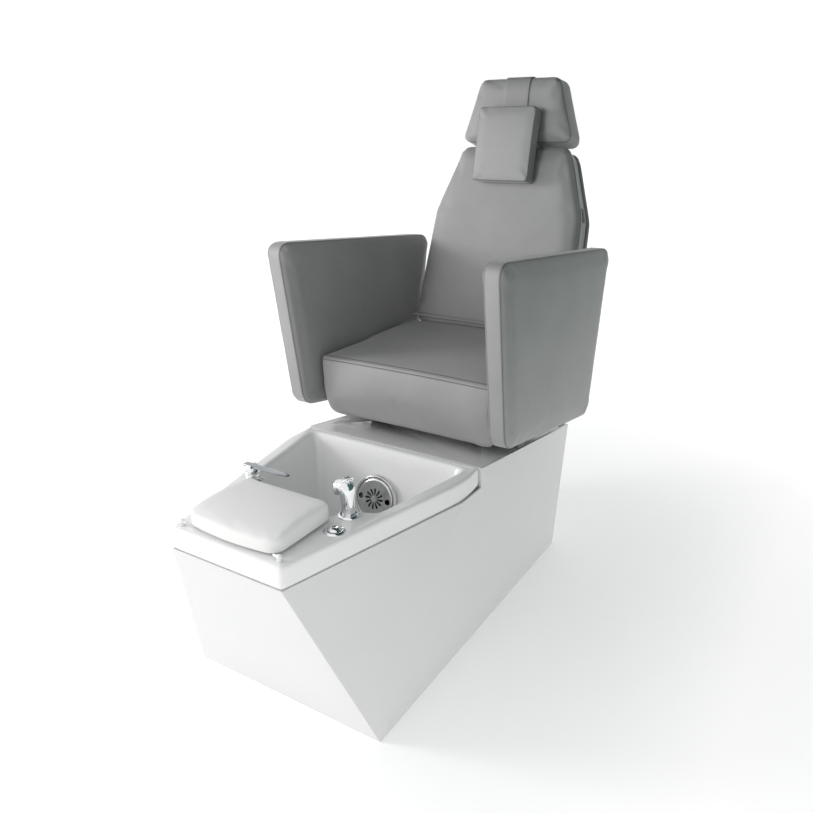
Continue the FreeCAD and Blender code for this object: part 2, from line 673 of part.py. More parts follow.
# ---------------------------------------------------------------- deck fittings
def handset():
    """A pull-out hand spray standing in its socket on the right of the deck."""
    deck = "platform_top"
    ring = tube("socket_ring", 24, "socket_bore", 6, at("handset_x", "handset_y", f"{deck} + 0.1"))
    neck = tube("socket_neck", "socket_bore + 4", "socket_bore", 46,
                at("handset_x", "handset_y", f"{deck} - 45.9"))
    socket = fuse("handset_socket", ring, neck)
    stem = cylinder("handset_stem", "socket_bore - 0.06", 46,
                    at("handset_x", "handset_y", f"{deck} - 39"))
    grip = doc.addObject("Part::Cone", "handset_grip")
    bind(grip, Radius1=15, Radius2=17, Height=52)
    grip.Placement = at("handset_x", "handset_y", f"{deck} + 6.6")
    ball = doc.addObject("Part::Sphere", "handset_ball")
    bind(ball, Radius=20)
    ball.Placement = at("handset_x", "handset_y", f"{deck} + 62")
    snout_turn = Rotation(Y_AXIS, -100)
    snout = cylinder("handset_snout", 15.5, 27, at("handset_x", "handset_y", f"{deck} + 62", snout_turn))
    shell = fuse("handset_shell", stem, grip, ball, snout)
    face_spot = Vector(value("handset_x"), value("handset_y"), value(f"{deck} + 62"))
    face_spot = face_spot + snout_turn.multVec(Vector(0, 0, 27.05))
    face = cylinder("spray_face", 13.5, 3, Placement(face_spot, snout_turn))
    stub = cylinder("knob_stub", 5, 5, at("handset_x", "handset_y", f"{deck} + 82.2"))
    fins = [box(f"knob_fin_{i}", 24, 4, 5,
                Placement(Vector(value("handset_x"), value("handset_y"), value(f"{deck} + 84"))
                          + Rotation(Z_AXIS, 60 * i).multVec(Vector(-12, -2, 0)), Rotation(Z_AXIS, 60 * i)))
            for i in range(3)]
    knob = fuse("diverter_knob", stub, *fins)
    return socket, shell, face, knob


def air_switch():
    """The domed push button of the water jet and its ring."""
    deck = "platform_top"
    ring = tube("switch_flange", "switch_ring", 15.3, 4, at("switch_x", "switch_y", f"{deck} + 0.1"))
    neck = tube("switch_neck", 14, 12, 30, at("switch_x", "switch_y", f"{deck} - 29.9"))
    shelf = tube("switch_shelf", 16, 12, 1, at("switch_x", "switch_y", f"{deck} + 0.1"))
    bezel = fuse("switch_bezel", ring, neck, shelf)
    crown = body("button_crown", at("switch_x", "switch_y", f"{deck} + 4.6"))
    pad(crown, circle(sketch(crown, "crown_disc", "XY_Plane"), 0, 0, 15), 6)
    fillet(crown, 5, lambda e: abs(e.CenterOfMass.z - 6) < 0.01)
    stem = cylinder("button_stem", 11.6, 20, at("switch_x", "switch_y", f"{deck} - 15.4"))
    return bezel, fuse("switch_button", crown, stem)


def mixer():
    """A single-lever deck mixer: fixed body, turning head and lifting lever."""
    base = cylinder("mixer_flange", 24, 4, at("mixer_x", "mixer_y", "platform_top + 0.1"))
    barrel = cylinder("mixer_barrel", "mixer_size", 17, at("mixer_x", "mixer_y", "platform_top + 4.1"))
    shank = cylinder("mixer_shank", 11, 60, at("mixer_x", "mixer_y", "platform_top - 59.9"))
    fixed = fuse("mixer_body", base, barrel, shank)
    disc = cylinder("head_disc", "mixer_size", 4.5, at("mixer_x", "mixer_y", "platform_top + 21.4"))
    ears = [box(f"head_ear_{i}", 14, 4, 17, at("mixer_x - 7", f"mixer_y + {y}", "platform_top + 25"))
            for i, y in enumerate((-13, 9))]
    pin = cylinder("head_pin", "lever_pin", 26,
                   at("mixer_x", "mixer_y + 13", "platform_top + 38", Rotation(X_AXIS, 90)))
    head = fuse("mixer_head", disc, *ears, pin)
    bar = box("lever_bar", "lever_length", 17, 8, at("mixer_x - 24", "mixer_y - 8.5", "platform_top + 34"))
    bore = cylinder("lever_bore", "lever_pin + hinge_clear", 30,
                    at("mixer_x", "mixer_y + 15", "platform_top + 38", Rotation(X_AXIS, 90)))
    return fixed, head, cut("mixer_lever", bar, bore)


def footrest():
    """The white foot pad over the front deck, hinged on two small lugs at its front corners."""
    cushion = body("footrest_cushion")
    base = "(platform_top + 2)"
    profile = outline(sketch(cushion, "pad_profile", "YZ_Plane"), [
        ("pad_front_y", f"{base} + 5"), ("pad_front_y + 4", base), ("pad_back_y", base),
        ("pad_back_y", f"{base} + pad_thick"), ("pad_back_y - 110", f"{base} + pad_thick - 2"),
        ("pad_front_y", f"{base} + 34")])
    pad(cushion, profile, "2 * pad_side", midplane=True)
    fillet(cushion, 9, lambda e: e.CenterOfMass.z > value(f"{base} + 20") and along(X_AXIS)(e))
    bores = [cylinder(f"pad_bore_{i}", "foot_pin + hinge_clear", 20,
                      at(f"{side} * (pad_side + 2) - 10", "lug_y", "lug_z", Rotation(Y_AXIS, 90)))
             for i, side in enumerate((-1, 1))]
    rest = cut("footrest_pad", cushion, group("pad_bores", *bores))
    lugs = []
    for i, side in enumerate((-1, 1)):
        post = cylinder(f"lug_post_{i}", 5, "lug_z - platform_top",
                        at(f"{side} * lug_x", "lug_y", "platform_top + 0.05"))
        eye = doc.addObject("Part::Sphere", f"lug_eye_{i}")
        bind(eye, Radius=6)
        eye.Placement = at(f"{side} * (lug_x + 0.5)", "lug_y", "lug_z")
        start = "lug_x" if side < 0 else "(pad_side - 6)"
        pin = cylinder(f"lug_pin_{i}", "foot_pin", "lug_x - pad_side + 6",
                       at(f"{side} * {start}", "lug_y", "lug_z", Rotation(Y_AXIS, 90)))
        lugs.append(fuse(f"lug_{i}", post, eye, pin))
    return rest, group("footrest_lugs", *lugs)


keep(*handset(), *air_switch(), *mixer(), *footrest())


# ---------------------------------------------------------------- seat slide
def slide_rails():
    """Two channels bolted to the platform, and the tongues that run in them."""
    channels, tongues = [], []
    for i, side in enumerate((-1, 1)):
        place = on_platform(f"{side} * slide_x", "slide_start_y", 0.1)
        channel = body(f"channel_{i}", place)
        half, lip = "(channel_wide / 2)", "(tongue_wide / 2 + 0.5)"
        outline(sketch(channel, f"channel_section_{i}", "XZ_Plane"), [
            (f"-{half}", 0), (half, 0), (half, "channel_tall"), (lip, "channel_tall"), (lip, 4),
            (f"-{lip}", 4), (f"-{lip}", "channel_tall"), (f"-{half}", "channel_tall")])
        pad(channel, channel.Group[0], "slide_length", reverse=True)
        channels.append(channel)
        tongues.append(box(f"tongue_{i}", "tongue_wide", "slide_length - 120", "carriage_low - 4.6",
                           place.multiply(Placement(Vector(-value("tongue_wide / 2"), 60, 4.5), Rotation()))))
    return group("slide_channels", *channels), group("slide_tongues", *tongues)


LEVER_Y = (200, 330)


def seat_carriage():
    """The steel plate under the seat, square to the slope, with two lever pivots below it."""
    plate = box("carriage_plate", "2 * carriage_half", "carriage_back_y - carriage_front_y",
                "carriage_thick", on_platform("-carriage_half", "carriage_front_y", "carriage_low"))
    pivots = [cylinder(f"lever_pivot_{i}", 4, "carriage_low - 18", on_platform(-215, y, 18))
              for i, y in enumerate(LEVER_Y)]
    return fuse("seat_carriage", plate, *pivots)


def release_lever(name, y):
    """A flat swing lever under the seat's edge, with a round grip outside the cushion."""
    place = on_platform(-215, y, 21)
    bar = box(name + "_bar", 112, 18, 5, place.multiply(Placement(Vector(-102, -9, 0), Rotation())))
    grip = cylinder(name + "_grip", 7, 40, place.multiply(
        Placement(Vector(-118, 0, 2.5), Rotation(Y_AXIS, 90))))
    bore = cylinder(name + "_pivot_bore", "4 + hinge_clear", 20,
                    place.multiply(Placement(Vector(0, 0, -5), Rotation())))
    return cut(name, fuse(name + "_solid", bar, grip), bore)


keep(*slide_rails(), seat_carriage())
keep(release_lever("slide_lever", LEVER_Y[0]), release_lever("recline_lever", LEVER_Y[1]))


# ---------------------------------------------------------------- seat cushion
BACK_LINE = "(back_foot_y - (back_foot_z - {z}) * tan(back_angle * 1deg) - seat_back_gap)"


def seat_cushion():
    """A deep upholstered block whose underside is recessed for its plywood board."""
    under_at = "(seat_front_low_z - ({y} - seat_front_low_y) * tan(platform_slope * 1deg))"
    low_back_y = value("back_foot_y") - 84
    block = body("seat_foam")
    profile = outline(sketch(block, "seat_profile", "YZ_Plane"), [
        ("seat_front_low_y", "seat_front_low_z"), (low_back_y, under_at.format(y=low_back_y)),
        (BACK_LINE.format(z="seat_back_z"), "seat_back_z"), ("seat_front_y", "seat_front_z")])
    pad(block, profile, "2 * cushion_half", midplane=True)
    fillet(block, 18, lambda e: e.CenterOfMass.z > value("seat_front_z") - 60
           and abs(e.CenterOfMass.x) < 1 and e.CenterOfMass.y < value("seat_front_y") + 60)
    board = box("seat_board", "2 * cushion_half - 90", 320, "board_thick - 1",
                on_platform("-cushion_half + 45", 72, "carriage_low + carriage_thick + 0.2"))
    recess = box("board_recess", "2 * cushion_half - 88", 322, "board_thick + 2",
                 on_platform("-cushion_half + 44", 71, "carriage_low + carriage_thick - 1"))
    return cut("seat_cushion", block, recess), board


keep(*seat_cushion())


# ---------------------------------------------------------------- arms
def arm_points(inset):
    """The arm's four-cornered side outline, moved in on every edge."""
    return [
        (f"(arm_front_top_y + {inset})", f"(arm_front_top_z - {inset})"),
        (f"(arm_front_low_y + {inset})", f"(arm_front_low_z + {inset})"),
        (f"(arm_back_low_y - {inset})", f"(arm_back_low_z + {inset})"),
        (f"(arm_back_top_y - {inset})", f"(arm_back_top_z - {inset})")]


TAB_Y = (126, 430)


def arm_panel():
    """One padded arm around its plywood core, slotted below for two steel tabs."""
    panel = body("arm_foam")
    pad(panel, outline(sketch(panel, "arm_outline", "YZ_Plane", "arm_inner"), arm_points(0)), "arm_thick")
    fillet(panel, 13, lambda e: True)
    core = body("arm_core_blank")
    core_x = "arm_inner + 22"
    core_sketch = outline(sketch(core, "core_outline", "YZ_Plane", core_x), arm_points("arm_core_inset"))
    pad(core, core_sketch, "arm_core_thick")
    hollow = body("arm_hollow")
    hollow_sketch = outline(sketch(hollow, "hollow_outline", "YZ_Plane", f"{core_x} - 0.2"),
                            arm_points("(arm_core_inset - 0.3)"))
    pad(hollow, hollow_sketch, "arm_core_thick + 0.4")
    slots = [box(f"tab_slot_{i}", "tab_thick + 2.2", "tab_wide + 3", "tab_tall + 3",
                 on_platform("arm_inner + 16", f"{y} - tab_wide / 2 - 1.5", "carriage_low - 3"))
             for i, y in enumerate(TAB_Y)]
    return cut("arm_pad", panel, group("arm_cuts", hollow, *slots)), core


def arm_brackets():
    """Four steel angles that carry the arms from the carriage plate."""
    angles = []
    for i, (side, y) in enumerate(((-1, TAB_Y[0]), (1, TAB_Y[0]), (-1, TAB_Y[1]), (1, TAB_Y[1]))):
        inner = "(carriage_half - 32)"
        outer = "(arm_inner + 21.5)"
        left = f"-{outer}" if side < 0 else inner
        foot = box(f"bracket_foot_{i}", f"{outer} - {inner}", "tab_wide", "tab_thick",
                   on_platform(left, f"{y} - tab_wide / 2", "carriage_low - tab_thick - 0.1"))
        tab_left = f"-{outer}" if side < 0 else f"{outer} - tab_thick"
        tab = box(f"bracket_tab_{i}", "tab_thick", "tab_wide", "tab_tall",
                  on_platform(tab_left, f"{y} - tab_wide / 2", "carriage_low - tab_thick - 0.1"))
        angles.append(fuse(f"bracket_{i}", foot, tab))
    return group("arm_brackets", *angles)


left_pad, left_core = arm_panel()
label(left_pad, "arm_left")
label(left_core, "arm_core_left")
keep(left_pad, left_core, mirrored("arm_right", left_pad), mirrored("arm_core_right", left_core))
keep(arm_brackets())


# ---------------------------------------------------------------- backrest
def back_outline(inset, notched):
    """Half the backrest's front outline, from its foot up, closed by its mirror image."""
    foot = "back_notch" if notched else "(cushion_half - 4)"
    points = [(f"({foot} - {inset})", f"(back_low + {inset})")]
    if notched:
        points.append((f"({foot} - {inset})", "-10"))
        points.append((f"(cushion_half - {inset})", "-10"))
    else:
        points.append((f"(cushion_half - {inset})", "0"))
    points.append((f"(back_waist - {inset})", "back_waist_z"))
    points.append((f"(back_top - {inset})", f"(back_length - {inset})"))
    return both_sides(points)


def leaning_pad(name, points, start, thick):
    """A slab in the backrest's frame, from one depth back through its thickness."""
    slab = body(name, on_back(0, 0, 0))
    profile = outline(sketch(slab, name + "_outline", "XZ_Plane", f"-({start})"), points)
    pad(slab, profile, thick, reverse=True)
    return slab


def backrest():
    """Foam front on a plywood board, and a hollow upholstered cover behind it."""
    foam = leaning_pad("back_foam_block", back_outline("0", True), "0", "back_foam")
    recess = leaning_pad("back_board_recess", back_outline("13", True),
                         "back_foam - back_board - 0.3", "back_board + 5")
    sockets = [cylinder(f"sleeve_socket_{i}", "sleeve_size + 0.3", "post_below + 30",
                        on_back(f"{side} * post_x", "post_in", "back_length - post_below - 20"))
               for i, side in enumerate((-1, 1))]
    cushion = cut("backrest_cushion", foam, group("back_cuts", recess, *sockets))
    board = leaning_pad("backrest_board", back_outline("14", True), "back_foam - back_board", "back_board")
    cover_block = leaning_pad("cover_block", back_outline("1", False), "back_foam + 0.3", "back_cover")
    cover_space = leaning_pad("cover_space", back_outline("(1 + cover_wall)", False),
                              "back_foam - 1", "back_cover - cover_wall + 1.3")
    cover = cut("backrest_cover", cover_block, cover_space)
    welt = cylinder("back_welt", "welt_size", "2 * cushion_half - 8",
                    on_back("-cushion_half + 4", -8.3, 3).multiply(Placement(Vector(), Rotation(Y_AXIS, 90))))
    return cushion, board, cover, welt


def recliner():
    """The pair of recliner hinges: fixed plates and pins on the seat, swinging arms on the back."""
    plates, arms, pins = [], [], []
    hinge = on_back(0, "hinge_in", "hinge_low")
    foot_y = value("back_foot_y")
    for i, side in enumerate((-1, 1)):
        inner = f"({side} * 246 - {0 if side > 0 else 1} * hinge_plate)"
        plate = body(f"hinge_plate_{i}")
        foot_z = value(PLATFORM_Z.format(y="500")) + value("carriage_low + carriage_thick") + 0.6
        edge_y, edge_z = hinge.Base.y, hinge.Base.z
        outline(sketch(plate, f"hinge_plate_outline_{i}", "YZ_Plane", inner), [
            (foot_y - 20, foot_z), (foot_y + 28, foot_z), (edge_y + 20, edge_z),
            (edge_y + 9, edge_z + 20), (edge_y - 9, edge_z + 20), (edge_y - 20, edge_z)])
        pad(plate, plate.Group[0], "hinge_plate")
        plates.append(plate)
        arm = body(f"hinge_arm_{i}", on_back(0, 0, 0))
        arm_x = f"({side} * 252 - {0 if side > 0 else 1} * hinge_plate)"
        outline(sketch(arm, f"hinge_arm_outline_{i}", "YZ_Plane", arm_x), [
            (10, -98), (12, -70), (93, -14), (93, 60), (114, 60), (114, -30), (46, -100)])
        pad(arm, arm.Group[0], "hinge_plate")
        arm_bore = cylinder(f"hinge_bore_{i}", "hinge_pin + hinge_clear", 30, hinge.multiply(
            Placement(Vector(side * 254 - 15, 0, 0), Rotation(Y_AXIS, 90))))
        arms.append(cut(f"hinge_swing_{i}", arm, arm_bore))
        pins.append(cylinder(f"hinge_pin_{i}", "hinge_pin", 14, hinge.multiply(
            Placement(Vector(side * 252 - 7, 0, 0), Rotation(Y_AXIS, 90)))))
        plates[i] = cut(f"hinge_cheek_{i}", plate, cylinder(
            f"cheek_bore_{i}", "hinge_pin", 30,
            hinge.multiply(Placement(Vector(side * 248.5 - 15, 0, 0), Rotation(Y_AXIS, 90)))))
    return (group("recliner_plates", *plates), group("recliner_arms", *arms),
            group("recliner_pins", *pins))


def headrest_sleeves():
    """Two guide tubes in the backrest for the headrest's posts."""
    sleeves = [tube(f"sleeve_{i}", "sleeve_size", "post_size + post_clear", "post_below + 9",
                    on_back(f"{side} * post_x", "post_in", "back_length - post_below - 10"))
               for i, side in enumerate((-1, 1))]
    return group("headrest_sleeves", *sleeves)


def side_tag():
    """A small blank tag on the sloping shoulder of the backrest."""
    fall = math.degrees(math.atan2(value("back_waist - back_top"), value("back_length - back_waist_z")))
    edge = value("back_waist") - 12 * math.tan(math.radians(fall)) + 0.3
    spot = on_back(edge, 58, "back_waist_z + 12")
    return box("blank_tag", 1.2, 22, 40, spot.multiply(Placement(Vector(), Rotation(Y_AXIS, -fall))))


keep(*backrest(), *recliner(), headrest_sleeves(), side_tag())


# ---------------------------------------------------------------- headrest and neck pillow
HEAD_FOOT = on_back(0, 2, "back_length + head_gap").Base
HEAD_TURN = Rotation(X_AXIS, -value("head_lean"))


def in_head(x, deep, up):
    """A place in the headrest's own frame, at the bottom of its front face."""
    return Placement(HEAD_FOOT + HEAD_TURN.multVec(Vector(value(x), value(deep), value(up))), HEAD_TURN)


def headrest():
    """A tapered padded block on two steel posts."""
    drop = "tan((back_angle - head_lean) * 1deg)"
    side = body("head_side_block", in_head(0, 0, 0))
    outline(sketch(side, "head_side", "YZ_Plane"), [
        (0, 0), ("head_thick", f"-head_thick * {drop}"), ("head_thick - 6", "head_height - 4"),
        (0, "head_height")])
    pad(side, side.Group[0], "2 * head_low + 20", midplane=True)
    front = body("head_front_block", in_head(0, 0, 0))
    outline(sketch(front, "head_front", "XZ_Plane", 20), both_sides([
        ("head_low - 4", -40), ("head_low", 12), ("head_high", "head_height - 8"),
        ("head_high - 9", "head_height + 1")]))
    pad(front, front.Group[0], "head_thick + 40", reverse=True)
    block = doc.addObject("Part::Common", "headrest_block")
    block.Base = side
    block.Tool = front
    doc.recompute()
    bores = [cylinder(f"post_bore_{i}", "post_size + 0.2", "post_above + 4",
                      on_back(f"{s} * post_x", "post_in", "back_length"))
             for i, s in enumerate((-1, 1))]
    posts = [cylinder(f"post_{i}", "post_size", "post_below + post_above",
                      on_back(f"{s} * post_x", "post_in", "back_length - post_below"))
             for i, s in enumerate((-1, 1))]
    return cut("headrest_cushion", block, group("post_bores", *bores)), group("headrest_posts", *posts)


def strap():
    """A flat band over the top of the headrest, down its front and its back."""
    band = body("headrest_strap", in_head(0, 0, 0))
    gap, outer = "strap_clear", "(strap_clear + strap_thick)"
    outline(sketch(band, "strap_path", "YZ_Plane"), [
        (f"-{outer}", "head_height - strap_front"), (f"-{gap}", "head_height - strap_front"),
        (f"-{gap}", f"head_height + {gap}"), (f"head_thick - 6 + {gap}", f"head_height - 3.6 + {gap}"),
        (f"head_thick - 2 + {gap}", "head_height - strap_back"),
        (f"head_thick - 2 + {outer}", "head_height - strap_back"),
        (f"head_thick - 6 + {outer}", f"head_height - 3.6 + {outer}"),
        (f"-{outer}", f"head_height + {outer}")])
    pad(band, band.Group[0], "strap_wide", midplane=True)
    return band


def neck_pillow():
    """A flat pillow hung in front of the headrest, and its counterweight behind it."""
    turn = Rotation(X_AXIS, -value("pillow_lean"))
    place = Placement(Vector(0, value("pillow_foot_y"), value("pillow_foot_z")), turn)
    pillow = body("neck_pillow", place)
    outline(sketch(pillow, "pillow_face", "XZ_Plane"), [
        ("-pillow_wide / 2", 0), ("pillow_wide / 2", 0), ("pillow_wide / 2", "pillow_tall"),
        ("-pillow_wide / 2", "pillow_tall")])
    pad(pillow, pillow.Group[0], "pillow_thick")
    fillet(pillow, 12, along(Z_AXIS))
    weight = box("pillow_counterweight", "weight_wide", "weight_thick", "weight_tall",
                 in_head("-weight_wide / 2", "head_thick + strap_thick + 4", "head_height - 130"))
    return pillow, weight


keep(*headrest(), strap(), *neck_pillow())


# ---------------------------------------------------------------- checks and files
doc.recompute()
for item in doc.Objects:
    if {"Invalid", "Error"} & set(item.State):
        raise RuntimeError(f"{item.Label} failed: {item.State}")
os.makedirs("parts", exist_ok=True)
for item in nodes:
    if item.Shape.isNull() or not item.Shape.isValid():
        raise RuntimeError(f"{item.Label} has no valid shape")
names = [item.Label for item in nodes]
if len(set(names)) != len(names):
    raise RuntimeError("two sub-parts share a name")
for item in nodes:
    item.Shape.exportStep(f"parts/{item.Label}.step")
print(len(nodes), "sub-parts written")
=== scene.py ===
import math

import bmesh
import bpy
from mathutils import Matrix, Vector, noise
from mathutils.bvhtree import BVHTree
from mathutils.kdtree import KDTree


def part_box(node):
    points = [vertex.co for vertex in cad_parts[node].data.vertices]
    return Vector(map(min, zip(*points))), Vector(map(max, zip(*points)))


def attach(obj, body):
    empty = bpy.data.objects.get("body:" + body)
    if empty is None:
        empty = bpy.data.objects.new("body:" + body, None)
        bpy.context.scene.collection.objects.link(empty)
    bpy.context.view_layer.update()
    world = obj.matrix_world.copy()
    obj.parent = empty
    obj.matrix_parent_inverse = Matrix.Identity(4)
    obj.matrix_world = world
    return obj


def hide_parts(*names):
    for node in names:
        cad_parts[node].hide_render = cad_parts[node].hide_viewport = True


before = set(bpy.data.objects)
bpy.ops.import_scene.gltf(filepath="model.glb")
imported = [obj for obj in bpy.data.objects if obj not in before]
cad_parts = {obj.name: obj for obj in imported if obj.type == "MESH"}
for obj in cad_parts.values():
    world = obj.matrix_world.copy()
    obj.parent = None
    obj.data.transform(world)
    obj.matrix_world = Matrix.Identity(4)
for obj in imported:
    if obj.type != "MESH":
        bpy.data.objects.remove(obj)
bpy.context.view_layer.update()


# ---------------------------------------------------------------- camera, floor and lights
# A camera off the basin's right front corner, a white floor that glows a little, a low soft light from
# the left, a soft spot on the backrest, and two dark cards that shade the seat and the right arm.
def placed(name, data):
    """A new object in the scene."""
    thing = bpy.data.objects.new(name, data)
    bpy.context.scene.collection.objects.link(thing)
    return thing


lens = bpy.data.cameras.new("camera")
lens.lens = 32.85
camera = placed("camera", lens)
camera.location = (0.992, -1.540, 1.236)
camera.rotation_euler = (math.radians(70.0625), 0, math.radians(32.1126))
bpy.context.scene.camera = camera
bpy.context.scene.view_settings.view_transform = "Standard"


def finish_of(name, **values):
    """A new material with its shader's own values set."""
    finish = bpy.data.materials.new(name)
    finish.use_nodes = True
    shader = finish.node_tree.nodes["Principled BSDF"]
    for socket, value in values.items():
        shader.inputs[socket.replace("_", " ")].default_value = value
    return finish


def pattern(finish, kind, scale, stretch=(1, 1, 1), **values):
    """A noise, grain or line texture on the piece's own coordinates; gives its grey output."""
    nodes, links = finish.node_tree.nodes, finish.node_tree.links
    place = nodes.new("ShaderNodeTexCoord")
    scaled = nodes.new("ShaderNodeMapping")
    scaled.inputs["Scale"].default_value = stretch
    texture = nodes.new("ShaderNodeTex" + kind)
    texture.inputs["Scale"].default_value = scale
    for socket, value in values.items():
        texture.inputs[socket].default_value = value
    links.new(place.outputs["Object"], scaled.inputs["Vector"])
    links.new(scaled.outputs["Vector"], texture.inputs["Vector"])
    return texture.outputs["Distance" if kind == "Voronoi" else "Fac"]


def tint(finish, grey, low, high, start=0.3, end=0.7):
    """Colour that runs from low to high with a grey pattern."""
    nodes, links = finish.node_tree.nodes, finish.node_tree.links
    ramp = nodes.new("ShaderNodeValToRGB")
    for stop, colour, spot in zip(ramp.color_ramp.elements, (low, high), (start, end)):
        stop.color, stop.position = (*colour, 1), spot
    links.new(grey, ramp.inputs["Fac"])
    links.new(ramp.outputs["Color"], nodes["Principled BSDF"].inputs["Base Color"])


def relief(finish, grey, depth, strength=1.0):
    """Bump from a grey pattern, on top of any bump the finish has; depth is in metres."""
    nodes, links = finish.node_tree.nodes, finish.node_tree.links
    bump = nodes.new("ShaderNodeBump")
    bump.inputs["Distance"].default_value = depth
    bump.inputs["Strength"].default_value = strength
    socket = nodes["Principled BSDF"].inputs["Normal"]
    if socket.is_linked:
        links.new(socket.links[0].from_socket, bump.inputs["Normal"])
    links.new(grey, bump.inputs["Height"])
    links.new(bump.outputs["Normal"], socket)


def shape_from(add, name, **values):
    """A new object from one of Blender's basic shapes, alone in the selection."""
    bpy.ops.object.select_all(action="DESELECT")
    add(**values)
    bpy.context.active_object.name = name
    return bpy.context.active_object


floor = shape_from(bpy.ops.mesh.primitive_plane_add, "studio_floor", size=80, location=(0, 0, -0.0005))
floor_paint = finish_of("floor_paint", Roughness=0.9, Specular_IOR_Level=0.1,
                        Emission_Color=(1, 1, 1, 1), Emission_Strength=0.18)
tint(floor_paint, pattern(floor_paint, "Noise", 2.0), (0.93, 0.93, 0.93), (0.95, 0.95, 0.95))
floor.data.materials.append(floor_paint)

sky = bpy.data.worlds.new("studio_air")
sky.use_nodes = True
sky.node_tree.nodes["Background"].inputs["Color"].default_value = (1.0, 1.0, 1.0, 1)
sky.node_tree.nodes["Background"].inputs["Strength"].default_value = 1.0
bpy.context.scene.world = sky


def studio_light(name, kind, place, aim, **values):
    """A light that faces a point."""
    light = placed(name, bpy.data.lights.new(name, kind))
    for setting, value in values.items():
        setattr(light.data, setting, value)
    light.location = place
    light.rotation_euler = (Vector(aim) - Vector(place)).to_track_quat("-Z", "Y").to_euler()


studio_light("key_light", "AREA", (-3.0, -2.1, 1.75), (0, 0.1, 0.75), size=1.0, energy=52)
studio_light("back_light", "SPOT", (-0.5, -3.2, 1.45), (0, 0.6, 1.14), energy=240, shadow_soft_size=0.45,
             spot_size=math.radians(16), spot_blend=0.8)


def shade_card(name, place, turn, size, colour):
    """A card that the camera does not see, but that shades the chair and shows in its gloss."""
    card = shape_from(bpy.ops.mesh.primitive_plane_add, name, size=1, location=place, rotation=turn)
    card.scale = (*size, 1)
    card.visible_camera = False
    paint = finish_of(name + "_paint", Base_Color=(*colour, 1), Roughness=0.8)
    relief(paint, pattern(paint, "Noise", 40), 0.001)
    card.data.materials.append(paint)


shade_card("right_card", (0.92, 0.30, 1.16), (0, math.pi / 2, 0), (1.2, 1.9), (0.05, 0.13, 0.125))
shade_card("seat_card", (0.10, 0.45, 1.66), (0, 0, 0), (1.7, 1.6), (0.05, 0.06, 0.06))


# ---------------------------------------------------------------- cabinet
# The hollow faceted base: white lacquered panels glued at crisp corners, with a sloping top deck set
# between its walls. Both keep their CAD shape and get a millimetre of rounding on every corner.
def polish(finish, grey, low, high):
    """Roughness that runs from low to high with a grey pattern."""
    nodes, links = finish.node_tree.nodes, finish.node_tree.links
    spread = nodes.new("ShaderNodeMapRange")
    spread.inputs["To Min"].default_value = low
    spread.inputs["To Max"].default_value = high
    links.new(grey, spread.inputs["Value"])
    links.new(spread.outputs["Result"], nodes["Principled BSDF"].inputs["Roughness"])


def coating(name, low, high, mottle, gloss, rough, *bumps, **values):
    """A new finish. Mottle and gloss hold the scale and detail of the noise behind its colour and its
    roughness, and each bump holds a kind of pattern, its scale, its depth and its strength."""
    finish = finish_of(name, **values)
    tint(finish, pattern(finish, "Noise", mottle[0], Detail=mottle[1]), low, high)
    polish(finish, pattern(finish, "Noise", gloss[0], Detail=gloss[1]), *rough)
    for kind, scale, depth, strength in bumps:
        relief(finish, pattern(finish, kind, scale), depth, strength)
    return finish


cabinet_lacquer = coating("cabinet_lacquer", (0.695, 0.70, 0.70), (0.715, 0.715, 0.71), (5, 3), (30, 2),
                          (0.28, 0.33), ("Noise", 420, 0.00004, 0.3), Coat_Weight=0.35,
                          Coat_Roughness=0.08, Specular_IOR_Level=0.45)


def only(piece):
    """Select one object and make it the active one."""
    bpy.ops.object.select_all(action="DESELECT")
    piece.select_set(True)
    bpy.context.view_layer.objects.active = piece


def settle(piece, body, finish, angle=30, node=None):
    """Shade a finished piece, give it its finish, fix it to the body it moves with, and let it stand
    for its CAD node."""
    only(piece)
    bpy.ops.object.transform_apply(location=True, rotation=True, scale=True)
    bpy.ops.object.shade_smooth_by_angle(angle=math.radians(angle))
    piece.data.materials.clear()
    piece.data.materials.append(finish)
    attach(piece, body)
    if node:
        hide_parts(node)
    return piece


def modify(piece, kind, **values):
    """Add one modifier and apply it."""
    only(piece)
    step = piece.modifiers.new(kind.lower(), kind)
    for name, value in values.items():
        setattr(step, name, value)
    bpy.ops.object.modifier_apply(modifier=step.name)


def refined(node, name, rounding, angle):
    """A copy of a CAD node with its triangles joined into flat faces and its corners rounded."""
    piece = placed(name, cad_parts[node].data.copy())
    only(piece)
    bpy.ops.object.mode_set(mode="EDIT")
    bpy.ops.mesh.select_all(action="SELECT")
    bpy.ops.mesh.remove_doubles(threshold=0.00001)
    bpy.ops.mesh.dissolve_limited(angle_limit=math.radians(0.4))
    bpy.ops.object.mode_set(mode="OBJECT")
    modify(piece, "BEVEL", width=rounding, segments=2, limit_method="ANGLE", angle_limit=math.radians(angle))
    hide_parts(node)
    return piece


settle(refined("cabinet_shell", "cabinet", 0.0011, angle=6), "base", cabinet_lacquer, 4)
settle(refined("platform_deck", "platform_panel", 0.0008, angle=25), "base",
       cabinet_lacquer)


# ---------------------------------------------------------------- service panel and connections
# The lift-off panel in the open back, its screws, the threaded brass water tails, the grey waste
# pipe and the black power inlet. They keep their CAD shapes, with softened edges.
panel_board = coating("panel_board", (0.68, 0.685, 0.68), (0.73, 0.73, 0.72), (12, 5), (60, 2), (0.35, 0.55),
                      ("Voronoi", 600, 0.0001, 0.5), Specular_IOR_Level=0.3)
settle(refined("rear_service_panel", "service_panel", 0.0006, angle=30), "base",
       panel_board)

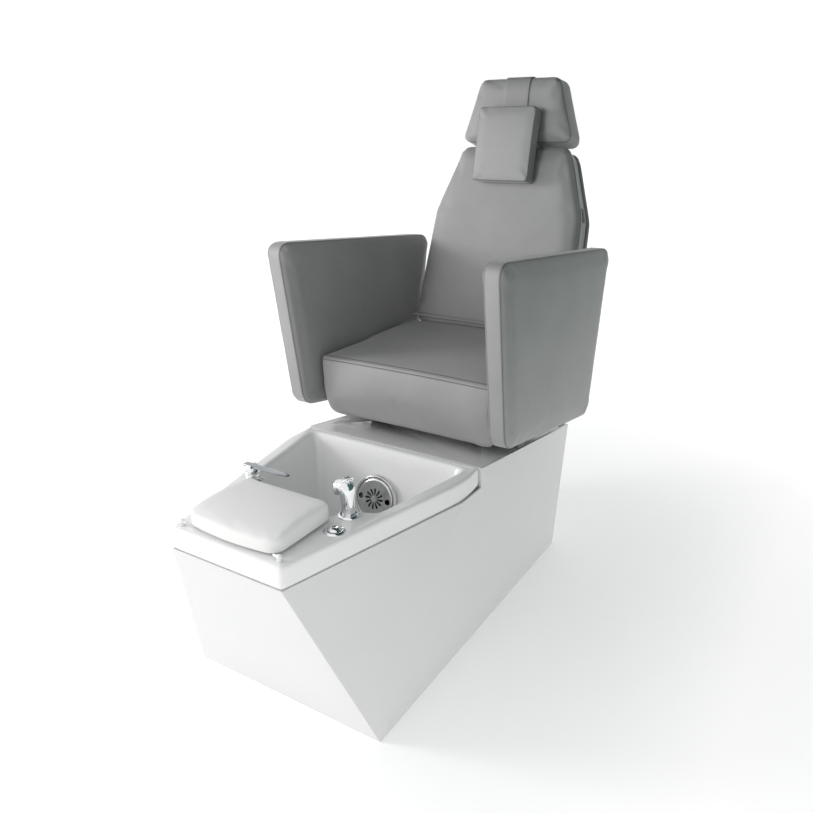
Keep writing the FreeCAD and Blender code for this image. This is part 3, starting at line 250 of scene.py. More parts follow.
bright_steel = coating("bright_steel", (0.52, 0.53, 0.54), (0.68, 0.69, 0.70), (40, 6), (120, 6),
                       (0.22, 0.42), Metallic=1.0)
relief(bright_steel, pattern(bright_steel, "Noise", 300, stretch=(1, 1, 12)), 0.00004, 0.6)
brass = coating("cast_brass", (0.58, 0.42, 0.18), (0.74, 0.58, 0.30), (60, 5), (90, 4), (0.25, 0.45),
                ("Wave", 220, 0.0004, 0.7), Metallic=1.0)
grey_plastic = coating("grey_plastic", (0.38, 0.39, 0.40), (0.46, 0.47, 0.48), (25, 3), (80, 2),
                       (0.32, 0.48), ("Noise", 700, 0.00006, 0.5))
black_plastic = coating("black_plastic", (0.012, 0.012, 0.013), (0.028, 0.028, 0.029), (30, 3), (90, 2),
                        (0.35, 0.55), ("Voronoi", 900, 0.00008, 0.5))


def smooth_cad(finish, name, node, body, rounding=0.0005):
    """A finished copy of a small CAD node with softened edges."""
    return settle(refined(node, name, rounding, angle=35), body, finish, 35)


smooth_cad(bright_steel, "service_screws", "panel_screws", "base", 0.0004)
smooth_cad(brass, "water_tails", "water_inlets", "base")
smooth_cad(grey_plastic, "waste_tail", "waste_spigot", "base")
smooth_cad(grey_plastic, "waste_run", "waste_pipe", "base")
smooth_cad(black_plastic, "power_socket", "power_inlet", "base", 0.0007)


# ---------------------------------------------------------------- hidden steel frame
# Powder-coated square tube under the basin and platform, which can be seen only from behind or
# below. Each tube keeps its CAD shape with a small corner radius.
frame_coat = coating("frame_coat", (0.045, 0.046, 0.05), (0.075, 0.076, 0.08), (18, 6), (50, 3),
                     (0.38, 0.6), ("Voronoi", 800, 0.0001, 0.6))
for node in ("chassis_rails", "chassis_crossbars", "basin_cradle", "pedestal_posts"):
    smooth_cad(frame_coat, node + "_coated", node, "base", 0.0012)


# ---------------------------------------------------------------- basin
# A vacuum-formed acrylic tub: a skirted rim that sits on the cabinet, a flat front deck and a
# tapering bowl, drawn down ring by ring and then given the sheet's even thickness.
deck_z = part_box("basin_tub")[1].z
skirt_z = deck_z - 0.0485
bowl_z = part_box("drain_strainer")[1].z - 0.0032
RIM = [(0.264, -0.0425), (0.266, -0.135), (0.2144, -0.362), (0.2057, -0.400), (0.150, -0.645)]
MOUTH = [(0.235, -0.067), (0.2223, -0.135), (0.180, -0.362), (0.110, -0.392), (0.102, -0.455)]
FLOOR = [(0.165, -0.128), (0.157, -0.190), (0.130, -0.350), (0.085, -0.375), (0.080, -0.415)]
RIM_TURN = [0.012, 0.05, 0.012, 0.012, 0.014]
MOUTH_TURN = [0.045, 0.016, 0.026, 0.017, 0.018]


def outline_between(first, second, share):
    """An outline part of the way from one to the other."""
    return [tuple(Vector(a).lerp(Vector(b), share)) for a, b in zip(first, second)]


def moved_in(half, by):
    """A half outline with each corner moved inwards along the bisector of its two sides."""
    mirror_back = Vector((-half[0][0], half[0][1]))
    mirror_front = Vector((-half[-1][0], half[-1][1]))
    chain = [mirror_back] + [Vector(p) for p in half] + [mirror_front]
    result = []
    for before, corner, after in zip(chain, chain[1:], chain[2:]):
        first = (corner - before).normalized()
        second = (after - corner).normalized()
        inward = Vector((first.y, -first.x)) + Vector((second.y, -second.x))
        inward = inward / max(inward.length_squared / 2, 0.3)
        result.append(tuple(corner + inward * by))
    return result


def tub_ring(half, turns, z, lift=()):
    """The points of one closed ring: three at each corner and one in the middle of each end."""
    loop = [Vector((0, half[0][1]))] + [Vector(p) for p in half] + [Vector((0, half[-1][1]))]
    side = []
    for number in range(1, len(loop) - 1):
        corner, before, after = loop[number], loop[number - 1], loop[number + 1]
        reach = turns[number - 1]
        rise = lift[number - 1] if lift else 0
        for spot, share in ((corner + (before - corner).normalized() * reach, 0.4), (corner, 1),
                            (corner + (after - corner).normalized() * reach, 0.4)):
            side.append(Vector((spot.x, spot.y, z + rise * share)))
    back, front = Vector((0, half[0][1], z)), Vector((0, half[-1][1], z))
    other = [Vector((-p.x, p.y, p.z)) for p in reversed(side)]
    return [back] + side + [front] + other


def leave_edit():
    """Turn every face outwards and leave edit mode."""
    bpy.ops.mesh.select_all(action="SELECT")
    bpy.ops.mesh.normals_make_consistent(inside=False)
    bpy.ops.object.mode_set(mode="OBJECT")


def stack_rings(name, rings):
    """Start from a circle, extrude it ring by ring, put each ring's points in their places and close
    the last one."""
    piece = shape_from(bpy.ops.mesh.primitive_circle_add, name, vertices=len(rings[0]), radius=1)
    for vertex, spot in zip(piece.data.vertices, rings[0]):
        vertex.co = spot
    slots = {number: number for number in range(len(rings[0]))}
    bpy.ops.object.mode_set(mode="EDIT")
    bpy.ops.mesh.select_all(action="SELECT")
    for ring in rings[1:]:
        bpy.ops.mesh.extrude_edges_move()
        mesh = bmesh.from_edit_mesh(piece.data)
        mesh.verts.ensure_lookup_table()
        for vertex in [v for v in mesh.verts if v.select]:
            below = [e.other_vert(vertex) for e in vertex.link_edges if not e.other_vert(vertex).select]
            slots[vertex.index] = slots[below[0].index]
            vertex.co = ring[slots[vertex.index]]
        bmesh.update_edit_mesh(piece.data)
    bpy.ops.mesh.edge_face_add()
    leave_edit()
    return piece


TIP = [0.0035, 0, 0, 0, 0]
HEEL = [0.010, 0, 0, 0, 0]
TUB_RINGS = [  # outline, corner reaches, height and lift of the corners
    (moved_in(RIM, 0.004), RIM_TURN, skirt_z, HEEL),
    (RIM, RIM_TURN, skirt_z, HEEL),
    (RIM, RIM_TURN, skirt_z + 0.002, HEEL),
    (RIM, RIM_TURN, deck_z - 0.014, TIP),
    (moved_in(RIM, 0.0008), RIM_TURN, deck_z - 0.006, TIP),
    (moved_in(RIM, 0.0042), RIM_TURN, deck_z - 0.0008, TIP),
    (moved_in(RIM, 0.0095), RIM_TURN, deck_z, TIP),
    (outline_between(RIM, MOUTH, 0.45), RIM_TURN, deck_z),
    (moved_in(MOUTH, -0.010), MOUTH_TURN, deck_z),
    (moved_in(MOUTH, -0.004), MOUTH_TURN, deck_z - 0.001),
    (MOUTH, MOUTH_TURN, deck_z - 0.007),
    (outline_between(MOUTH, FLOOR, 0.10), MOUTH_TURN, deck_z - 0.025),
    (outline_between(MOUTH, FLOOR, 0.5), MOUTH_TURN, (deck_z + bowl_z) / 2),
    (outline_between(MOUTH, FLOOR, 0.88), MOUTH_TURN, bowl_z + 0.030),
    (outline_between(MOUTH, FLOOR, 0.97), MOUTH_TURN, bowl_z + 0.009),
    (moved_in(FLOOR, 0.012), MOUTH_TURN, bowl_z + 0.0012),
    (moved_in(FLOOR, 0.035), [turn * 0.6 for turn in MOUTH_TURN], bowl_z),
]
tub = stack_rings("basin", [tub_ring(*ring) for ring in TUB_RINGS])
deck_faces = [f for f in tub.data.polygons if f.center.z > deck_z - 0.0005 and abs(f.normal.z) > 0.9]
if deck_faces[0].normal.z < 0:
    tub.data.flip_normals()
modify(tub, "SUBSURF", levels=2, render_levels=2)
modify(tub, "SOLIDIFY", thickness=0.0045, offset=-1)


def drill(piece, holes):
    """Cut round holes: each is a centre, an axis, a radius and a depth."""
    drills = []
    for centre, axis, radius, depth in holes:
        turn = Vector(axis).to_track_quat("Z", "Y").to_euler()
        drills.append(shape_from(bpy.ops.mesh.primitive_cylinder_add, "drill", vertices=48, radius=radius,
                                 depth=depth, location=centre, rotation=turn))
    bpy.ops.object.select_all(action="DESELECT")
    for tool in drills:
        tool.select_set(True)
    bpy.context.view_layer.objects.active = drills[0]
    bpy.ops.object.join()
    bit = bpy.context.active_object
    modify(piece, "BOOLEAN", object=bit, operation="DIFFERENCE", solver="EXACT")
    bpy.data.objects.remove(bit)


JET_AXIS = Vector((0, -0.9636, 0.2672))
JET_CENTRE = Vector((0, -0.1022, 0.348))
HANDSET_SPOT = (0.137, -0.410)
SWITCH_SPOT = (0.151, -0.479)
MIXER_SPOT = (-0.158, -0.388)
DRAIN_SPOT = (0.0, -0.270)
fittings = [(DRAIN_SPOT, bowl_z, 0.0205), (HANDSET_SPOT, deck_z, 0.0155), (SWITCH_SPOT, deck_z, 0.0145),
            (MIXER_SPOT, deck_z, 0.0125)]
drill(tub, [(JET_CENTRE, JET_AXIS, 0.0445, 0.05)]
      + [((*spot, height), (0, 0, 1), radius, 0.04) for spot, height, radius in fittings])

basin_acrylic = coating("basin_acrylic", (0.80, 0.802, 0.80), (0.825, 0.825, 0.82), (4, 2), (24, 5),
                        (0.14, 0.24), ("Noise", 14, 0.0006, 0.25), ("Noise", 500, 0.00003, 0.5),
                        Coat_Weight=0.6, Coat_Roughness=0.04, Specular_IOR_Level=0.5)
settle(tub, "base", basin_acrylic, 50, "basin_tub")

seal_rubber = coating("seal_rubber", (0.40, 0.40, 0.395), (0.50, 0.50, 0.49), (50, 2), (200, 2), (0.6, 0.8),
                      ("Noise", 900, 0.0001, 0.6), Specular_IOR_Level=0.2)
smooth_cad(seal_rubber, "rim_seal", "rim_gasket", "base", 0.0004)


# ---------------------------------------------------------------- drain, pump and motor
# A steel strainer and its lift-out plug in the bowl's floor; behind the back wall the plastic volute,
# the impeller on its shaft and the pump's motor.
smooth_cad(bright_steel, "floor_strainer", "drain_strainer", "base", 0.0006)
smooth_cad(bright_steel, "floor_plug", "drain_plug", "drain_plug", 0.0012)
smooth_cad(black_plastic, "pump_volute", "jet_volute", "base", 0.0012)
smooth_cad(black_plastic, "pump_impeller", "jet_impeller", "impeller", 0.0003)
smooth_cad(bright_steel, "pump_shaft", "motor_shaft", "impeller", 0.0004)
smooth_cad(frame_coat, "pump_motor", "jet_motor", "base", 0.003)


# ---------------------------------------------------------------- water jet
# A satin-plated ring screwed through the back wall, turned on a lathe with a domed lip, and the
# slotted cap that twists into it.
def lathe(name, section, centre, axis=(0, 0, 1), closed=True):
    """Spin a section of (radius, height) points round an axis that starts at the centre. A section
    that isn't closed starts and ends on the axis."""
    piece = shape_from(bpy.ops.mesh.primitive_circle_add, name, vertices=len(section), radius=1)
    for vertex, (radius, height) in zip(piece.data.vertices, section):
        vertex.co = (radius, 0, height)
    bpy.ops.object.mode_set(mode="EDIT")
    if not closed:
        mesh = bmesh.from_edit_mesh(piece.data)
        mesh.verts.ensure_lookup_table()
        last = [e for e in mesh.verts[0].link_edges if e.other_vert(mesh.verts[0]).index > 1]
        bmesh.ops.delete(mesh, geom=last, context="EDGES")
        bmesh.update_edit_mesh(piece.data)
    bpy.ops.mesh.select_all(action="SELECT")
    bpy.ops.mesh.spin(steps=64, angle=math.tau, center=(0, 0, 0), axis=(0, 0, 1))
    bpy.ops.mesh.select_all(action="SELECT")
    bpy.ops.mesh.remove_doubles(threshold=0.00002)
    leave_edit()
    piece.rotation_euler = Vector(axis).to_track_quat("Z", "Y").to_euler()
    piece.location = centre
    only(piece)
    bpy.ops.object.transform_apply(location=True, rotation=True, scale=True)
    return piece


def rounded(section, radius, steps=4):
    """A section of (point, share) pairs, with each corner rounded by its share of the radius."""
    result = []
    count = len(section)
    for number, (corner, own) in enumerate(section):
        before, after = Vector(section[number - 1][0]), Vector(section[(number + 1) % count][0])
        corner = Vector(corner)
        reach = min(own * radius, (before - corner).length * 0.45, (after - corner).length * 0.45)
        if reach <= 0:
            result.append(tuple(corner))
            continue
        start = corner + (before - corner).normalized() * reach
        end = corner + (after - corner).normalized() * reach
        for step in range(steps + 1):
            share = step / steps
            result.append(tuple(start.lerp(corner, share).lerp(corner.lerp(end, share), share)))
    return result


satin_plate = coating("satin_plate", (0.66, 0.665, 0.655), (0.74, 0.745, 0.735), (20, 3), (60, 3),
                      (0.20, 0.27), ("Noise", 400, 0.00002, 0.3), Metallic=1.0)
ring_section = [((0.040, -0.0237), 0), ((0.044, -0.0237), 0.5), ((0.044, 0.0003), 0),
                ((0.0625, 0.0003), 0.4), ((0.0625, 0.0120), 3.0), ((0.0590, 0.0153), 3.0),
                ((0.0550, 0.0140), 1.5), ((0.0550, 0.0063), 0.3), ((0.040, 0.0063), 0.5)]
jet_ring = lathe("jet_ring", rounded(ring_section, 0.002), JET_CENTRE, JET_AXIS)
settle(jet_ring, "base", satin_plate, 40, "jet_flange")
cap = settle(refined("jet_cap", "jet_grille", 0.0005, angle=40), "jet_cap", satin_plate, 40)
# The slot walls take the black plastic finish: painted shade inside the slots.
cap.data.materials.append(black_plastic)
SLOT_REACH = 0.050
for face in cap.data.polygons:
    out = (face.center - JET_CENTRE) - JET_AXIS * JET_AXIS.dot(face.center - JET_CENTRE)
    if abs(face.normal.dot(JET_AXIS)) < 0.6 and out.length < SLOT_REACH:
        face.material_index = 1


# ---------------------------------------------------------------- hand spray
# A chrome hand spray that stands in a turned socket ring: its grip swells and bends over into the
# head, which ends in a grey rubber face, with a crown-shaped knob on top.
chrome = coating("chrome_plate", (0.78, 0.80, 0.81), (0.86, 0.87, 0.88), (12, 2), (90, 6), (0.035, 0.09),
                 ("Noise", 60, 0.00012, 0.3), Metallic=1.0)

socket_section = [((0.011, -0.0459), 0), ((0.015, -0.0459), 0.5), ((0.015, 0.0001), 0),
                  ((0.024, 0.0001), 0.4), ((0.024, 0.0030), 1.5), ((0.0195, 0.0061), 2.0),
                  ((0.011, 0.0061), 0.4)]
socket = lathe("spray_socket", rounded(socket_section, 0.0015), (*HANDSET_SPOT, deck_z))
settle(socket, "base", chrome, 40, "handset_socket")


def bent_ring(x, z, tilt, radius, count=32):
    """A ring round the spray's centre line, turned towards -X by tilt degrees."""
    lean = math.radians(tilt)
    ring = []
    for number in range(count):
        angle = math.tau * number / count
        side, across = radius * math.cos(angle), radius * math.sin(angle)
        ring.append(Vector((HANDSET_SPOT[0] + x + side * math.cos(lean), HANDSET_SPOT[1] + across,
                            deck_z + z + side * math.sin(lean))))
    return ring


def close_ends(piece):
    """Fill the open rims of a stacked shape and turn its faces outwards."""
    only(piece)
    bpy.ops.object.mode_set(mode="EDIT")
    for _ in range(2):
        mesh = bmesh.from_edit_mesh(piece.data)
        bpy.ops.mesh.select_all(action="DESELECT")
        rim = [e for e in mesh.edges if e.is_boundary]
        if not rim:
            break
        near = rim[0].verts[0].co
        for edge in rim:
            edge.select = (edge.verts[0].co - near).length < 0.05
        bmesh.update_edit_mesh(piece.data)
        bpy.ops.mesh.edge_face_add()
    leave_edit()


SPRAY_PATH = [  # sideways, height, tilt and radius
    (0, -0.039, 0, 0.0090), (0, -0.0385, 0, 0.0105), (0, -0.037, 0, 0.01094), (0, 0.006, 0, 0.01094),
    (0, 0.0066, 0, 0.0125), (0, 0.0080, 0, 0.0142), (0, 0.0110, 0, 0.0146), (-0.0002, 0.025, 0, 0.0150),
    (-0.0006, 0.040, 0, 0.0158), (-0.0010, 0.050, 6, 0.0172), (-0.0020, 0.058, 18, 0.0190),
    (-0.0050, 0.066, 42, 0.0200), (-0.0105, 0.0690, 68, 0.0190), (-0.0160, 0.0680, 88, 0.0168),
    (-0.0215, 0.0650, 98, 0.0158), (-0.0240, 0.0640, 100, 0.0163), (-0.0262, 0.0632, 100, 0.0163),
    (-0.0268, 0.0631, 100, 0.0155), (-0.0262, 0.0632, 100, 0.0140)]
spray = stack_rings("hand_spray", [bent_ring(*stop) for stop in SPRAY_PATH])
close_ends(spray)
modify(spray, "SUBSURF", levels=1, render_levels=1)
settle(spray, "handset", chrome, 40, "handset_shell")

spray_rubber = finish_of("spray_rubber")
tint(spray_rubber, pattern(spray_rubber, "Voronoi", 260), (0.05, 0.05, 0.05), (0.32, 0.33, 0.33), 0.05, 0.30)
polish(spray_rubber, pattern(spray_rubber, "Noise", 200), 0.45, 0.6)
relief(spray_rubber, pattern(spray_rubber, "Voronoi", 260), 0.0008, 0.8)
smooth_cad(spray_rubber, "spray_nozzles", "spray_face", "handset", 0.0010)
smooth_cad(chrome, "spray_knob", "diverter_knob", "handset_knob", 0.0011)


# ---------------------------------------------------------------- air button
# A chrome push button with a domed crown in a turned ring, beside the footrest's rear corner.
ring_outline = [((0.012, -0.0299), 0), ((0.014, -0.0299), 0.3), ((0.014, 0.0001), 0),
                ((0.0235, 0.0001), 0.3), ((0.0235, 0.0016), 1.0), ((0.0180, 0.0045), 2.0),
                ((0.0153, 0.0041), 0.6), ((0.0153, 0.0011), 0.2), ((0.012, 0.0011), 0.2)]
bezel = lathe("button_ring", rounded(ring_outline, 0.0014), (*SWITCH_SPOT, deck_z))
settle(bezel, "base", chrome, 40, "switch_bezel")
crown = [(0, 0.0108), (0.003, 0.0107), (0.0065, 0.0102), (0.010, 0.0091), (0.0130, 0.0073),
         (0.0146, 0.0058), (0.0150, 0.0048), (0.0146, 0.0046), (0.0116, 0.0046), (0.0116, -0.0150),
         (0.0110, -0.0154), (0, -0.0154)]
button = lathe("push_button", crown, (*SWITCH_SPOT, deck_z), closed=False)
settle(button, "button", chrome, 40, "switch_button")


# ---------------------------------------------------------------- mixer
# A chrome single-lever mixer on the basin's -X side: a turned body, a turning head with two ears,
# and a long flat lever that tapers to a rounded end.
body_section = [((0.0, -0.0599), 0), ((0.011, -0.0599), 0.6), ((0.011, 0.0001), 0),
                ((0.024, 0.0001), 0.4), ((0.024, 0.0022), 1.2), ((0.0200, 0.0050), 2.0),
                ((0.0178, 0.0090), 2.0), ((0.0178, 0.0150), 1.0), ((0.0165, 0.0210), 0.8),
                ((0.0, 0.0210), 0)]
mixer_base = lathe("mixer_stand", rounded(body_section, 0.0016), (*MIXER_SPOT, deck_z))
settle(mixer_base, "base", chrome, 40, "mixer_body")
smooth_cad(chrome, "mixer_turret", "mixer_head", "mixer_head", 0.0013)

lever_low, lever_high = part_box("mixer_lever")
LEVER_STOPS = [  # place along the lever, half width, underside and top, in metres
    (0.0, 0.0040, 0.0020, 0.0050), (0.0015, 0.0072, 0.0004, 0.0072), (0.006, 0.0085, 0.0, 0.0080),
    (0.018, 0.0085, 0.0, 0.0080), (0.030, 0.0085, 0.0, 0.0080), (0.050, 0.0083, 0.0006, 0.0079),
    (0.080, 0.0078, 0.0016, 0.0076), (0.110, 0.0070, 0.0024, 0.0074), (0.126, 0.0062, 0.0028, 0.0072),
    (0.134, 0.0050, 0.0032, 0.0068), (0.138, 0.0026, 0.0042, 0.0060)]


def lever_ring(along, half, under, top):
    """A flat section of the lever, rounded at its corners."""
    middle = (lever_low.y + lever_high.y) / 2
    ring = []
    for number in range(16):
        angle = math.tau * (number + 0.5) / 16
        across = math.copysign(abs(math.cos(angle)) ** 0.5, math.cos(angle)) * half
        up = math.copysign(abs(math.sin(angle)) ** 0.5, math.sin(angle)) * (top - under) / 2
        ring.append(Vector((lever_low.x + along, middle + across, lever_low.z + (top + under) / 2 + up)))
    return ring


lever = stack_rings("mixer_handle", [lever_ring(*stop) for stop in LEVER_STOPS])
close_ends(lever)
modify(lever, "SUBSURF", levels=1, render_levels=1)
dark_chrome = coating("dark_chrome", (0.30, 0.32, 0.34), (0.42, 0.44, 0.46), (12, 2), (90, 5), (0.08, 0.16),
                      ("Noise", 80, 0.00008, 0.3), Metallic=1.0)
settle(lever, "mixer_lever", dark_chrome, 40, "mixer_lever")


# ---------------------------------------------------------------- seat slide and release levers
# Black-coated channels on the platform, the tongues, carriage plate and brackets that slide in them,
# the recliner plates and arms, and two swing levers.
smooth_cad(frame_coat, "slide_channels_coated", "slide_channels", "base", 0.0006)
for node in ("slide_tongues", "seat_carriage", "arm_brackets", "recliner_plates"):
    smooth_cad(frame_coat, node + "_coated", node, "seat", 0.0006)
smooth_cad(bright_steel, "recliner_bolts", "recliner_pins", "seat", 0.0008)
smooth_cad(frame_coat, "recliner_arms_coated", "recliner_arms", "backrest", 0.0006)
smooth_cad(frame_coat, "slide_release", "slide_lever", "slide_lever", 0.0010)
smooth_cad(frame_coat, "recline_release", "recline_lever", "recline_lever", 0.0010)
smooth_cad(bright_steel, "headrest_rods", "headrest_posts", "headrest", 0.0010)
smooth_cad(black_plastic, "rod_sleeves", "headrest_sleeves", "backrest", 0.0005)

birch = finish_of("birch_plywood")
tint(birch, pattern(birch, "Noise", 6, stretch=(1, 12, 40), Detail=6), (0.46, 0.33, 0.19), (0.66, 0.51, 0.33))
polish(birch, pattern(birch, "Noise", 80), 0.5, 0.7)
relief(birch, pattern(birch, "Noise", 30, stretch=(1, 10, 30), Detail=4), 0.0002, 0.5)
for node, rider in (("seat_board", "seat"), ("arm_core_left", "seat"), ("arm_core_right", "seat"),
                    ("backrest_board", "backrest")):
    smooth_cad(birch, node + "_ply", node, rider, 0.0010)


# ---------------------------------------------------------------- seat cushion
# A foam block in grey synthetic leather, with a stitched seam round its top edge. It is a grid of
# small cells, puffed between its pinned seams by a short cloth simulation.
SEAM_BESIDE, SEAM_CLEAR = 0.0022, 0.0034
WAVE_DEPTH = 0.0005
PUCKER_START, PUCKER_REACH = 0.004, 0.014


def cell_rows(half, edge, step, seams=()):
    """Grid lines across one side: four in each rounded edge, even between, close round a seam."""
    count = max(2, round((2 * half - 2 * edge) / step))
    rows = [-half + edge * n / 4 for n in range(4)] + [half - edge * n / 4 for n in range(4)]
    rows += [-half + edge + (2 * half - 2 * edge) * n / count for n in range(count + 1)]
    for seam in seams:
        rows = [row for row in rows if abs(row - seam) > SEAM_CLEAR or abs(abs(row) - half) < 1e-6]
        rows += [seam - SEAM_BESIDE, seam, seam + SEAM_BESIDE]
    return sorted(rows)


def round_off(spot, half, edge, turn, corner_axes):
    """Move a box's point onto the same box with its outline corners and its two rims rounded."""
    a, b = corner_axes
    c = 3 - a - b
    inset = min(half[a] - abs(spot[a]), half[b] - abs(spot[b]))
    beside, above = edge - inset, abs(spot[c]) - half[c] + edge
    if beside > 1e-9 and above > 1e-9:
        reach = edge / math.hypot(beside, above)
        narrowed = edge - beside * reach
        for axis in corner_axes:
            past = abs(spot[axis]) - half[axis] + turn
            if past > 0:
                past *= (turn - narrowed) / (turn - inset)
                spot[axis] = math.copysign(half[axis] - turn + past, spot[axis])
        spot[c] = math.copysign(half[c] - edge + above * reach, spot[c])
        inset = narrowed
    bend = turn - inset
    out = [abs(spot[axis]) - half[axis] + turn for axis in corner_axes]
    if bend > 0 and min(out) > 1e-9:
        scale = max(out) / math.hypot(*out)
        for axis, past in zip(corner_axes, out):
            spot[axis] = math.copysign(half[axis] - turn + past * scale, spot[axis])


def foam_block(name, rows, edge, form, corner=0.0, corner_axes=(0, 2), rear_edge=None, low_corner=None):
    """A closed box on grid rows, its edges rounded by edge and its outline corners by corner, then
    given its form. Gives the piece and each vertex's three grid lines."""
    rear_edge = edge if rear_edge is None else rear_edge
    low_corner = corner if low_corner is None else low_corner
    piece = shape_from(bpy.ops.mesh.primitive_cube_add, name, size=2)
    bpy.ops.object.mode_set(mode="EDIT")
    bpy.ops.mesh.select_mode(type="EDGE")
    for axis in range(3):
        bpy.ops.mesh.select_all(action="DESELECT")
        mesh = bmesh.from_edit_mesh(piece.data)
        for e in mesh.edges:
            e.select = abs(e.verts[0].co[axis] - e.verts[1].co[axis]) > 1e-6
        bmesh.update_edit_mesh(piece.data)
        bpy.ops.mesh.subdivide(number_cuts=len(rows[axis]) - 2)
    bpy.ops.object.mode_set(mode="OBJECT")
    half = Vector([line[-1] for line in rows])
    grid = []
    for vertex in piece.data.vertices:
        lines = [round((vertex.co[axis] + 1) / 2 * (len(rows[axis]) - 1)) for axis in range(3)]
        grid.append(tuple(lines))
        spot = Vector([rows[axis][lines[axis]] for axis in range(3)])
        own = rear_edge if spot.y > 0 else edge
        turn = max(own, low_corner if spot.z < 0 else corner)
        round_off(spot, half, own, turn, corner_axes)
        vertex.co = form(spot.x, spot.y, spot.z)
    return piece, grid


PUFF_MOMENTS = 20


def puff(piece, grid, sewn, most):
    """Inflate a block between its sewn lines with a short cloth run; no point moves over most."""
    mesh = piece.data
    start = [v.co.copy() for v in mesh.vertices]
    pins = piece.vertex_groups.new(name="sewn")
    pins.add([n for n, lines in enumerate(grid) if sewn(*lines)], 1.0, "REPLACE")
    only(piece)
    cloth = piece.modifiers.new("cover", "CLOTH")
    cloth.settings.vertex_group_mass = "sewn"
    cloth.settings.use_pressure = True
    cloth.settings.uniform_pressure_force = 4.0
    cloth.settings.effector_weights.gravity = 0
    cloth.settings.tension_stiffness = 25
    cloth.settings.compression_stiffness = 25
    cloth.settings.bending_stiffness = 2.0
    cloth.settings.quality = 4
    cloth.point_cache.frame_end = PUFF_MOMENTS
    for moment in range(1, PUFF_MOMENTS + 1):
        bpy.context.scene.frame_set(moment)
    bpy.ops.object.modifier_apply(modifier=cloth.name)
    bpy.context.scene.frame_set(1)
    piece.vertex_groups.clear()
    for vertex, was in zip(piece.data.vertices, start):
        move = vertex.co - was
        if move.length > 1e-9:
            vertex.co = was + move.normalized() * most * math.tanh(move.length / most)


def sewn_lines(piece, grid, sewn):
    """The seam's vertex numbers, as chains in order."""
    mesh = piece.data
    on_seam = {n for n, lines in enumerate(grid) if sewn(*lines)}
    beside = {n: [] for n in on_seam}
    for edge in mesh.edges:
        a, b = edge.vertices
        if a in on_seam and b in on_seam:
            beside[a].append(b)
            beside[b].append(a)
    chains, left = [], set(on_seam)
    while left:
        start = next((n for n in sorted(left) if len(beside[n]) == 1), min(left))
        chain, here = [start], start
        left.discard(start)
        while True:
            onward = [n for n in beside[here] if n in left]
            if not onward:
                break
            here = onward[0]
            left.discard(here)
            chain.append(here)
        if start in beside[chain[-1]] and len(chain) > 2:
            chain.append(start)
        chains.append(chain)
    return [chain for chain in chains if len(chain) > 4]


def sew(piece, grid, sewn, depth, ripple):
    """Draw the seam lines in, pucker the cover beside them and add the soft waves of the foam. Gives
    the seam lines as chains of places."""
    mesh = piece.data
    chains = sewn_lines(piece, grid, sewn)
    spots = [mesh.vertices[n].co.copy() for chain in chains for n in chain]
    normals = [v.normal.copy() for v in mesh.vertices]
    on_seam = {n for chain in chains for n in chain}
    near = KDTree(len(spots))
    for number, spot in enumerate(spots):
        near.insert(spot, number)
    near.balance()
    # Marks the seam points; the leather finish darkens them as painted shade in the seam grooves.
    drawn = mesh.attributes.new("seam", "FLOAT", "POINT")
    for number in on_seam:
        drawn.data[number].value = 1.0
    for vertex in mesh.vertices:
        push = WAVE_DEPTH * noise.noise(vertex.co * 11)
        spot, _, away = near.find(vertex.co)
        gather = noise.noise(spot * 55) + 0.5 * noise.noise(spot * 130)
        push += ripple * gather * math.exp(-away / PUCKER_REACH) * min(1, away / PUCKER_START)
        if vertex.index in on_seam:
            push -= depth
        vertex.co += normals[vertex.index] * push
    return [[mesh.vertices[n].co.copy() for n in chain] for chain in chains]


THREAD_GAP = 0.0052
THREAD_HALF = 0.0019
THREAD_THICK = 0.00042


def cover_tree(piece):
    """A search tree of a piece's faces."""
    return BVHTree.FromPolygons([v.co for v in piece.data.vertices],
                                [p.vertices[:] for p in piece.data.polygons])


def stitch(piece, name, chains, offsets, body):
    """Small thread capsules beside each seam line, laid on the finished cover as one mesh."""
    tree = cover_tree(piece)
    template = shape_from(bpy.ops.mesh.primitive_ico_sphere_add, "one_stitch", subdivisions=1, radius=1)
    shape = [v.co.copy() for v in template.data.vertices]
    faces = [p.vertices[:] for p in template.data.polygons]
    bpy.data.objects.remove(template)
    points, polygons = [], []
    for chain in chains:
        travelled, due = 0.0, 0.003
        for start, end in zip(chain, chain[1:]):
            step = (end - start).length
            while due <= travelled + step and step > 1e-7:
                spot = start.lerp(end, (due - travelled) / step)
                along = (end - start).normalized()
                _, normal, _, _ = tree.find_nearest(spot)
                side = normal.cross(along).normalized()
                for offset in offsets:
                    place, up, _, _ = tree.find_nearest(spot + side * offset)
                    across = up.cross(along).normalized()
                    first = len(points)
                    for p in shape:
                        points.append(place + along * p.x * THREAD_HALF + across * p.y * THREAD_THICK
                                      + up * (p.z * THREAD_THICK + THREAD_THICK * 0.4))
                    polygons += [tuple(first + n for n in face) for face in faces]
                due += THREAD_GAP
            travelled += step
    mesh = bpy.data.meshes.new(name)
    mesh.from_pydata(points, [], polygons)
    settle(placed(name, mesh), body, thread_grey, 180)


# How dark the painted shade in the seam grooves is, as a share of the leather's darker colour.
SEAM_SHADE = 0.22


